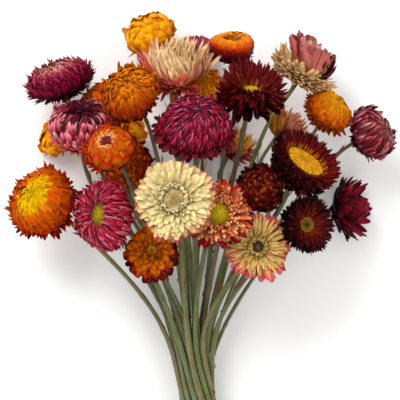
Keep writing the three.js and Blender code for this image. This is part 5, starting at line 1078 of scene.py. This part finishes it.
def head(name, kind, centre, facing, spread, below, above, index):
    look = LOOKS[name]
    rng = np.random.default_rng(1000 + index)
    R = spread * MM * SPREAD
    up, down = above * MM, below * MM
    C = np.array(centre) * MM
    ex, ey, ez = axes(facing)
    at = (C, ex, ey, ez)
    height = lambda z: np.where(z > 0, z * up, z * down)
    jig = look.get("jig", 1.0)
    edge, tip_from = look.get("edge", 0.12), look.get("tip_from", 0.55)
    ck = look["colours"]
    ct = np.array([c[0] for c in ck])
    cols = [np.array([lin(c[j]) for c in ck]) for j in (1, 2, 3)]
    rd = look.get("rd")
    lean = look.get("lean", (0, 0))
    tilt_at, tilt_by = look.get("tilt", (0, 0))
    wave = rng.uniform(0, 6.28, 3)
    wob = look.get("wobble", 1.0)
    squash_at, squash_by = look.get("squash", (0, 1.0))
    sx, sy = math.cos(math.radians(squash_at)), math.sin(math.radians(squash_at))

    oval_at, oval_by = look.get("oval", (0, 1.0))
    ox, oy = math.cos(math.radians(oval_at)), math.sin(math.radians(oval_at))

    def settle(V):
        """Leans the head's top, tips its rim and takes the lathe-turned evenness out of it; keeps it above the floor."""
        W = V - C
        h, x, y = W @ ez, W @ ex, W @ ey
        r = np.hypot(x, y) / R
        az = np.arctan2(y, x)
        k = np.clip(h / up, 0, 1)
        low = np.clip(r, 0, 1) ** 2
        dh = R * (tilt_by * r * np.cos(az - math.radians(tilt_at)) + wob * 0.035 * low * np.sin(2 * az + wave[0])) * np.clip(0.5 + h / up, 0, 1)
        dr = wob * low * (0.028 * np.sin(3 * az + wave[1]) + 0.022 * np.sin(5 * az + wave[2]))
        V = V + ez * dh[..., None] + (ex * (x * dr)[..., None] + ey * (y * dr)[..., None])
        V = V + (ex * lean[0] + ey * lean[1]) * (R * k)[..., None]
        # the inner part drawn together across one way, so that its disc is oval
        V = V - (ex * sx + ey * sy) * ((x * sx + y * sy) * (1 - squash_by) * (1 - smooth(0.5, 0.98, r)))[..., None]
        # the whole head narrower across one way
        V = V - (ex * ox + ey * oy) * ((x * ox + y * oy) * (1 - oval_by))[..., None]
        V[..., 2] = np.maximum(V[..., 2], 0.0003)
        return V

    sheet = Sheet()
    cell = 0
    start = rng.uniform(0, 6.28)
    for group in look["groups"]:
        n = group["n"]
        lo_t, hi_t = group.get("span", (0.0, 1.0))
        t = lo_t + (hi_t - lo_t) * (np.arange(n) + 0.5) / n
        tj = np.clip(t + rng.normal(0, 0.008 * jig, n), 0, 1)
        k = group.get("shrink", 1.0)
        form = group["form"]
        if form in LAID:
            path, tj, half, point, cup, curl, span = laid(form, tj, R * k, up * group.get("rise", 1.0), down, n / (hi_t - lo_t), group.get("slim", 0.6),
                                                    group.get("long", 1.0), group.get("flare", 0.0), rd, group.get("lift", 0.014),
                                                    group.get("sunk", 0.05), group.get("even", 0.5))
        else:
            keys = np.array(ROWS[form], float)
            g = lambda c: interp(keys, tj, c)
            P0 = np.c_[g(1) * R, height(g(2))]
            P1 = np.c_[g(3) * R * k, height(g(4))]
            P2 = np.c_[g(5) * R * k, height(g(6))]
            half, point, cup, curl = g(7) * R, g(8), g(9), g(10)
            if rd:  # a wider disc pushes the inner petals outward
                for P in (P0, P1, P2):
                    x = P[:, 0] / R
                    P[:, 0] = R * np.where(x < 0.25, x * rd / 0.25, rd + (x - 0.25) * (1 - rd) / 0.75)
            path = bent(P0, P1, P2)
            path[..., 1] *= np.where(path[..., 1] > 0, group.get("rise", 1.0), 1.0)
            span = np.zeros(n)
        way = path[:, 4] - path[:, 2]
        # no tip is drawn back past the point before it, or it would fold over
        path[:, 4] += way * np.clip(rng.normal(0, 0.10 * jig, n), -0.2, 0.4)[:, None] + np.clip(rng.normal(0, 0.010 * jig, (n, 2)), -0.025, 0.025) * R
        path[:, 3] += rng.normal(0, 0.006 * jig * R, (n, 2))
        path[:, 1:3] += rng.normal(0, 0.008 * jig * R, (n, 1, 2))
        # a petal that would go past the head's full spread or height is drawn in as a whole
        for c, most in ((0, group.get("reach", 1.02) * R), (1, 1.12 * up * max(1.0, group.get("rise", 1.0)))):
            far = path[..., c].max(axis=1, keepdims=True)
            path[..., c] *= np.where((far > most) & (path[..., c] > 0), most / np.maximum(far, 1e-9), 1.0)
        if "between" in group:
            lo, hi = (math.radians(v) for v in group["between"])
            phi = lo + (hi - lo) * ((np.arange(n) * 0.618034) % 1)
        else:
            phi = start + np.arange(n) * GOLDEN + rng.normal(0, 0.05 * jig, n)
        half = half * group.get("wide", 1.0) * np.exp(rng.normal(0, 0.10, n))
        point = point * group.get("point", 1.0)
        cup = cup * group.get("cup", 1.0)
        curl = curl * group.get("curl", 1.0) + rng.normal(0, 0.025 * jig, n) + group.get("hook", 0.0)
        twist = rng.normal(0, 0.16 * jig, n)
        bend = rng.normal(0, 0.04 * jig, n) + group.get("sweep", 0.0)
        ripple = np.abs(rng.normal(0, 0.10, n)) * look.get("ripple", 1.0)
        seed = rng.uniform(0, 1, n)
        tc = np.full(n, group["over"]) + rng.normal(0, 0.01, n) if "over" in group else tj
        light = np.exp(rng.normal(0, 0.10, n))
        per = [np.c_[tuple(np.interp(tc, ct, cc[:, c]) for c in range(3))] for cc in cols]
        plain = per[1].copy()
        for az, wide, t0, base, mid, tip in look.get("sides", []):
            away = np.abs((np.degrees(phi) - az + 180) % 360 - 180) + rng.normal(0, wide * 0.12, n)
            w = (smooth(wide, wide * 0.55, away) * smooth(t0 - 0.06, t0 + 0.06, tc))[:, None]
            per = [p * (1 - w) + lin(c) * w for p, c in zip(per, (base, mid, tip))]
        per = [p * light[:, None] for p in per]
        # alt recolours a random share of petals: on some heads with another colour of their own, on crimson_fringed,
        # mauve_cup, crimson_open, magenta_dome, plum_dome, dark_red_gold_eye and rust_ball as a painted highlight
        if "alt" in look:
            share, other = look["alt"]
            pick = (rng.uniform(0, 1, n) < share) & (tc < look.get("alt_to", 1.0)) & (tc > look.get("alt_from", -1.0))
            mixk = rng.uniform(0.3, 0.9, n)[:, None] * pick[:, None]
            per[1] = per[1] * (1 - mixk * 0.6) + lin(other) * mixk * 0.6
            per[2] = per[2] * (1 - mixk) + lin(other) * mixk
        # shine paints a highlight down the middle of each petal's underside (below zero, painted shade there); dark
        # paints shade toward each petal's edges, where it meets the next
        shine = look.get("shine", -0.15)
        band = look.get("band", 0.0) if form in LAID else 0.0
        dark = look.get("dark", 0.3)
        # a laid petal shows only its last part, so its colours run there; each petal's darker base and lighter tip are
        # partly its own colour, partly painted shade from the petal laid over it and painted light on its tip
        k1a, k1b, k2a = (0.66, 0.90, max(0.84, tip_from)) if form in LAID else (0.05, 0.5, tip_from)

        def colours(idx, s, u, under, sel):
            i = sel[idx]
            k1 = smooth(k1a, k1b, s)[:, None]
            k2 = smooth(k2a, 1.0, s + edge * np.abs(u) * (1 if k1a < 0.5 else 0.5))[:, None]
            out = per[0][i] * (1 - k1) + per[1][i] * k1
            out = out * (1 - k2) + per[2][i] * k2
            if band:  # colour by place on the head, so that it runs smoothly from one petal to the next
                here = np.clip(tc[i] + (1 - s) * span[i], 0, 1)
                flat = np.c_[tuple(np.interp(here, ct, cols[1][:, c]) for c in range(3))]
                ratio = np.clip(flat / plain[i], 0.02, 20)
                out = out * (1 - band) + np.minimum(per[1][i] * ratio, 1.0) * band
            # painted highlight down the middle (shine), painted shade toward the edges (dark)
            return out * ((1 + shine * under) * (1 - dark * u * u))[:, None]

        small = half < group.get("fine_under", 0.0016)
        broad = half > 0.0030
        for grid, mask in (("small", small), ("large", ~small & ~broad), ("broad", broad)):
            sel = np.nonzero(mask)[0]
            cell = petals(sheet, grid, cell, at, path[sel], phi[sel], half[sel], point[sel], cup[sel], curl[sel], twist[sel], bend[sel],
                          ripple[sel], 0.0002, lambda i, s, u, w, sel=sel: colours(i, s, u, w, sel), seed[sel], settle, group.get("widest", 0.8 if form in LAID else 0.6))
    # under petals laid on an outline there is a packed heart of their lower halves
    first = look["groups"][0]
    if first["form"] in LAID:
        o = Outline(first["form"], R * first.get("shrink", 1.0), up, down, rd)
        x = np.linspace(0, 1, 16)
        p, _ = o.on(x * o.arc[-1], look.get("heart", 0.07))
        p = p[p[:, 1] < 0.97 * up][::-1]
        floor_z = float(height(np.array(look["disc"][1]))) - 0.001 if "disc" in look else p[-1, 1]
        p = np.vstack([[0, -0.93 * down], p[(p[:, 0] > 0.03 * R)], [0, floor_z]])
        share = np.linspace(1, 0, len(p))
        # painted shade: the heart is coloured from the petals' base and middle colours times 0.3 × heart_tone, darker
        # than the petals (unless heart_tone is high), for the gaps between them
        deep = np.c_[tuple(np.interp(share, ct, ((cols[0] + cols[1]) * 0.3 * look.get("heart_tone", 1.0))[:, c]) for c in range(3))]
        cell = lathe(sheet, at, p, 36, lambda f: deep[int(round(f * (len(p) - 1)))], cell, 0.5, 0.03, settle)
    elif first["form"] in ("ray", "saucer", "shag"):
        # open heads have a packed heart as well, under and round the disc
        r0 = look["disc"][0]
        low = look["disc"][1]
        z = lambda a: float(height(np.array(a)))
        p = np.array([[0, -0.9 * down], [0.13 * R, -0.86 * down], [0.30 * R, -0.55 * down], [(r0 + 0.22) * R, z(-0.10)], [(r0 + 0.16) * R, z(0.5 * low)],
                      [(r0 + 0.05) * R, z(0.8 * low)], [r0 * R, z(low) - 0.001], [0, z(low) - 0.001]])
        # painted shade: this heart is about half as bright as the petals' colours and darker still toward its foot
        deep = np.array([np.interp(look.get("heart_at", 0.3), ct, (cols[0] * 0.35 + cols[1] * 0.15)[:, c]) for c in range(3)])
        cell = lathe(sheet, at, p, 36, lambda f: deep * (0.6 + 0.4 * f), cell, 0.5, 0.03, settle)
    mat = petal_material(name + "_paper", **look.get("paper", {}))
    ob = make_object(name + "_bracts", sheet, mat, cell)
    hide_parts(name + "_head")
    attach(ob, "root")
    made = [ob]
    # the seat that every petal grows from, and the florets on it
    sheet = Sheet()
    cell = 0
    disc = look.get("disc")
    stem_side = lin((112, 100, 52))
    if disc:
        rad = disc[0] * R
        low, high = float(height(np.array(disc[1]))), float(height(np.array(disc[2])))
        size = look.get("floret", 0.00046)
        dimple = look.get("dimple", 0.0)
        ring = [0.97, 0.82, 0.62, 0.42, 0.24, 0.1]
        top = [(f * rad, high + (low - high) * f * f - 0.5 * size - dimple * rad * math.exp(-((f / 0.22) ** 2))) for f in ring]
        top.append((0, high - 0.5 * size - dimple * rad))
        neck = (min(0.2 * R, rad * 0.8), min(-0.25 * down, low - 0.002))
    else:
        low = float(height(np.array(0.1)))
        top = [(0.1 * R, low), (0, low)]
        neck = (0.16 * R, -0.3 * down)
    seat = [(0, -down), (0.0019, -down), (0.09 * R + 0.0008, -0.93 * down), (0.15 * R, -0.7 * down), neck] + top
    inner, outer = (lin(disc[3]), lin(disc[4])) if disc else (lin((90, 50, 30)),) * 2
    heads_up = len(seat) - len(top)

    # painted shade: the seat's sides blend toward a dark share of the disc colour, and its top is drawn at 0.72 of the
    # disc colours (0.4 with no disc), under the petals and florets
    def seat_colour(f):
        i = f * (len(seat) - 1)
        if i < heads_up - 0.5:
            return stem_side * (1 - f) + outer * 0.3 * f
        k = np.clip(seat[int(round(i))][0] / top[0][0], 0, 1)
        return (inner * (1 - k) + outer * k) * (0.72 if disc else 0.4)

    cell = lathe(sheet, at, seat, 20, seat_colour, cell, 0.3, 0.02, settle)
    if disc:
        nf = int(min(420, max(30, 0.62 * (rad / size) ** 2)))
        cell = florets(sheet, at, rad, low, high, nf, size, disc[3], disc[4], rng, cell, dimple, settle)
    ob = make_object(name + "_disc", sheet, DISC, cell, sharp=50)
    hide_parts(name + "_head")
    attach(ob, "root")
    made.append(ob)
    return made


# ---------------------------------------------------------------- stems
def stalk(name, diameter, points, index):
    rng = np.random.default_rng(5000 + index)
    line = spline(np.array(points) * MM, 6)
    # grown a little way into the head's seat
    d = line[0] - line[1]
    d /= np.linalg.norm(d)
    line = np.vstack([line[0] + d * 0.0011, line])
    seg = np.linalg.norm(np.diff(line, axis=0), axis=1)
    s = np.r_[0, np.cumsum(seg)]
    total = s[-1]
    T = np.gradient(line, axis=0)
    T /= np.linalg.norm(T, axis=1)[:, None]
    # a frame that doesn't spin along the line
    u = np.cross(T[0], [0.3, 0.2, 1.0])
    u /= np.linalg.norm(u)
    U = []
    for i in range(len(line)):
        u = u - T[i] * np.dot(u, T[i])
        u /= np.linalg.norm(u)
        U.append(u)
    U = np.array(U)
    V = np.cross(T, U)
    r0 = diameter * MM / 2
    f = s / total
    radius = r0 * (0.74 + 0.20 * f)
    radius = radius * (1 + 0.55 * np.exp(-s / 0.0035))  # widens into the seat
    radius = radius * (1 + 0.035 * np.sin(s * 190 + rng.uniform(0, 6)) + 0.02 * np.sin(s * 520 + rng.uniform(0, 6)))
    nodes = []
    x = rng.uniform(0.018, 0.034)
    while x < total - 0.012:
        nodes.append(x)
        x += rng.uniform(0.020, 0.042)
    for k in nodes:
        radius = radius * (1 + rng.uniform(0.10, 0.2) * np.exp(-(((s - k) / 0.0013) ** 2)))
    sides = 16
    a = np.arange(sides) / sides * 2 * np.pi
    ridge = 1 + 0.085 * np.cos(a * 8) + 0.05 * np.cos(a * 3 + rng.uniform(0, 6))
    turn = s * rng.uniform(-9, 9)
    ang = a[None] + turn[:, None]
    ring = (np.cos(ang)[..., None] * U[:, None] + np.sin(ang)[..., None] * V[:, None]) * (radius[:, None] * ridge[None])[..., None]
    v = line[:, None] + ring
    m = len(line)
    # a slanting cut end with a sunk pith
    cut = rng.uniform(-0.5, 0.5, 2)
    end = m - 1
    v[end] += T[end] * ((np.cos(ang[end]) * cut[0] + np.sin(ang[end]) * cut[1]) * radius[end] * 0.8)[:, None]
    inner = line[end] + (v[end] - line[end]) * 0.62
    pith = line[end] - T[end] * radius[end] * 0.25
    head_c = line[0]
    allv = np.concatenate([v.reshape(-1, 3), inner, [pith], [head_c]])
    q, t_, uq, ut = [], [], [], []
    cells = 4
    run = m / cells
    for i in range(m - 1):
        c = int(min(cells - 1, i // run))
        y0, y1 = (i - c * run) / run, (i + 1 - c * run) / run
        for j in range(sides):
            k = (j + 1) % sides
            q.append([i * sides + j, (i + 1) * sides + j, (i + 1) * sides + k, i * sides + k])
            uq.append([(c, j / sides, y0), (c, j / sides, y1), (c, (j + 1) / sides, y1), (c, (j + 1) / sides, y0)])
    base = m * sides
    for j in range(sides):
        k = (j + 1) % sides
        q.append([end * sides + j, base + j, base + k, end * sides + k])
        p = lambda jj, rr: (4, 0.5 + 0.5 * rr * math.cos(a[jj]), 0.5 + 0.5 * rr * math.sin(a[jj]))
        uq.append([p(j, 1), p(j, 0.62), p(k, 0.62), p(k, 1)])
        t_.append([base + j, base + sides, base + k])
        ut.append([p(j, 0.62), (4, 0.5, 0.5), p(k, 0.62)])
        t_.append([j, k, base + sides + 1])
        ut.append([(5, 0.5 + 0.5 * math.cos(a[j]), 0.5 + 0.5 * math.sin(a[j])), (5, 0.5 + 0.5 * math.cos(a[k]), 0.5 + 0.5 * math.sin(a[k])), (5, 0.5, 0.5)])
    green = lin((rng.uniform(104, 124), rng.uniform(112, 128), rng.uniform(70, 88)))
    brown = lin((rng.uniform(118, 136), rng.uniform(102, 112), 70))
    mixk = np.clip(rng.normal(0.08, 0.14), 0, 1)
    body = green * (1 - mixk) + brown * mixk
    col = np.tile(body, (m, 1))
    top = lin((104, 84, 44))
    k = np.exp(-s / 0.012)[:, None]
    col = col * (1 - 0.6 * k) + top * 0.6 * k
    for x in nodes:
        k = np.exp(-(((s - x) / 0.0016) ** 2))[:, None]
        col = col * (1 - 0.5 * k) + lin((120, 92, 58)) * 0.5 * k
    k = smooth(0.93, 1.0, f)[:, None]
    col = col * (1 - 0.5 * k) + lin((146, 120, 78)) * 0.5 * k
    # painted shade in the grooves between the ridges and painted light along the ridges
    groove = 0.62 + 0.52 * (ridge - ridge.min()) / (ridge.max() - ridge.min())
    colv = (col[:, None] * groove[None, :, None]).reshape(-1, 3)
    colv = np.concatenate([colv, np.tile(lin((186, 160, 112)), (sides, 1)), [lin((120, 92, 60))], [top]])
    pv = np.stack([np.repeat(s * 100, sides), np.tile(np.where(a > np.pi, 2 * np.pi - a, a) / np.pi, m), np.full(m * sides, rng.uniform())], 1)
    pv = np.concatenate([pv, np.tile(pv[-1], (sides + 2, 1))])
    sheet = Sheet()
    sheet.add(allv, np.array(q), np.array(t_), colv, pv, np.array(uq, float), np.array(ut, float))
    cell = 6

    def on_floor(V):
        V[..., 2] = np.maximum(V[..., 2], 0.0002)
        return V

    # dry leaf scales at the nodes: the upper ones stand a little off the stem, the lower ones are stubs
    for c, x in enumerate(nodes):
        i = int(np.searchsorted(s, x))
        i = min(max(i, 1), m - 2)
        upper = x < 0.075
        if not upper and rng.uniform() < 0.25:
            continue
        length = rng.uniform(0.007, 0.013) if upper else rng.uniform(0.002, 0.0045)
        halfw = rng.uniform(0.0007, 0.0011) if upper else rng.uniform(0.0006, 0.0009)
        ez = -T[i]  # toward the head
        side = rng.uniform(0, 6.28)
        ex = U[i] * math.cos(side) + V[i] * math.sin(side)
        ey = np.cross(ez, ex)
        r = radius[i]
        open_ = rng.uniform(0.25, 0.6) if upper else 0.15
        P0 = np.array([[r * 0.75, -0.0004]])
        P1 = np.array([[r * 1.15 + length * 0.10, length * 0.5]])
        P2 = np.array([[r * 1.05 + length * open_ * 0.7, length * 0.95]])
        dry = lin((rng.uniform(110, 150), rng.uniform(84, 104), rng.uniform(44, 60)))
        cell = petals(sheet, "small", cell, (line[i], ex, ey, ez), bent(P0, P1, P2), np.zeros(1), np.array([halfw]), np.array([1.2]),
                      np.array([-0.6]), np.array([rng.normal(0, 0.15)]), np.array([rng.normal(0, 0.5)]), np.array([rng.normal(0, 0.1)]),
                      np.array([0.2]), 0.00018, lambda idx, ss, uu, un: dry[None] * (0.75 + 0.35 * ss[:, None]), np.array([rng.uniform()]), on_floor)
    ob = make_object(name + "_stalk", sheet, STEM, cell, sharp=48)
    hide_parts(name + "_stem")
    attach(ob, "root")
    return ob


for i, f in enumerate(FLOWERS):
    head(*f, index=i)
for i, st in enumerate(STEMS):
    stalk(*st, index=i)


# ---------------------------------------------------------------- the studio
def studio():
    me = bpy.data.meshes.new("floor")
    n, rad = 96, 14.0
    v = [(0, 0, -0.0005)] + [(rad * math.cos(2 * math.pi * k / n), rad * math.sin(2 * math.pi * k / n), -0.0005) for k in range(n)]
    me.from_pydata(v, [], [(0, 1 + k, 1 + (k + 1) % n) for k in range(n)])
    floor = bpy.data.objects.new("floor", me)
    bpy.context.scene.collection.objects.link(floor)
    m = bpy.data.materials.new("pale_floor")
    m.use_nodes = True
    b = m.node_tree.nodes["Principled BSDF"]
    b.inputs["Base Color"].default_value = (0.93, 0.93, 0.925, 1)
    b.inputs["Roughness"].default_value = 0.9
    b.inputs["Specular IOR Level"].default_value = 0.1
    me.materials.append(m)
    w = bpy.data.worlds.new("studio")
    bpy.context.scene.world = w
    w.use_nodes = True
    w.node_tree.nodes["Background"].inputs[0].default_value = (1.0, 1.0, 1.0, 1)
    w.node_tree.nodes["Background"].inputs[1].default_value = 0.9

    def lamp(name, at, size, power, colour=(1, 1, 1)):
        l = bpy.data.lights.new(name, "AREA")
        l.shape = "DISK"
        l.size = size
        l.energy = power
        l.color = colour
        o = bpy.data.objects.new(name, l)
        bpy.context.scene.collection.objects.link(o)
        o.location = at
        d = np.array([0, 0.04, 0.05]) - np.array(at)
        from mathutils import Vector

        o.rotation_euler = Vector(d).to_track_quat("-Z", "Y").to_euler()
        return o

    lamp("key", (-0.55, 1.0, 1.3), 0.9, 18)
    lamp("fill", (1.2, -0.4, 1.4), 1.6, 7)
    cam = bpy.data.cameras.new("camera")
    cam.lens = 180
    cam.sensor_width = 36
    cam.clip_start, cam.clip_end = 0.05, 60
    o = bpy.data.objects.new("camera", cam)
    bpy.context.scene.collection.objects.link(o)
    o.location = (-0.00208, 0.04964, 1.3601)
    o.rotation_euler = (0, 0, 0)
    bpy.context.scene.camera = o
    bpy.context.scene.view_settings.view_transform = "Standard"
    bpy.context.scene.view_settings.look = "None"


studio()
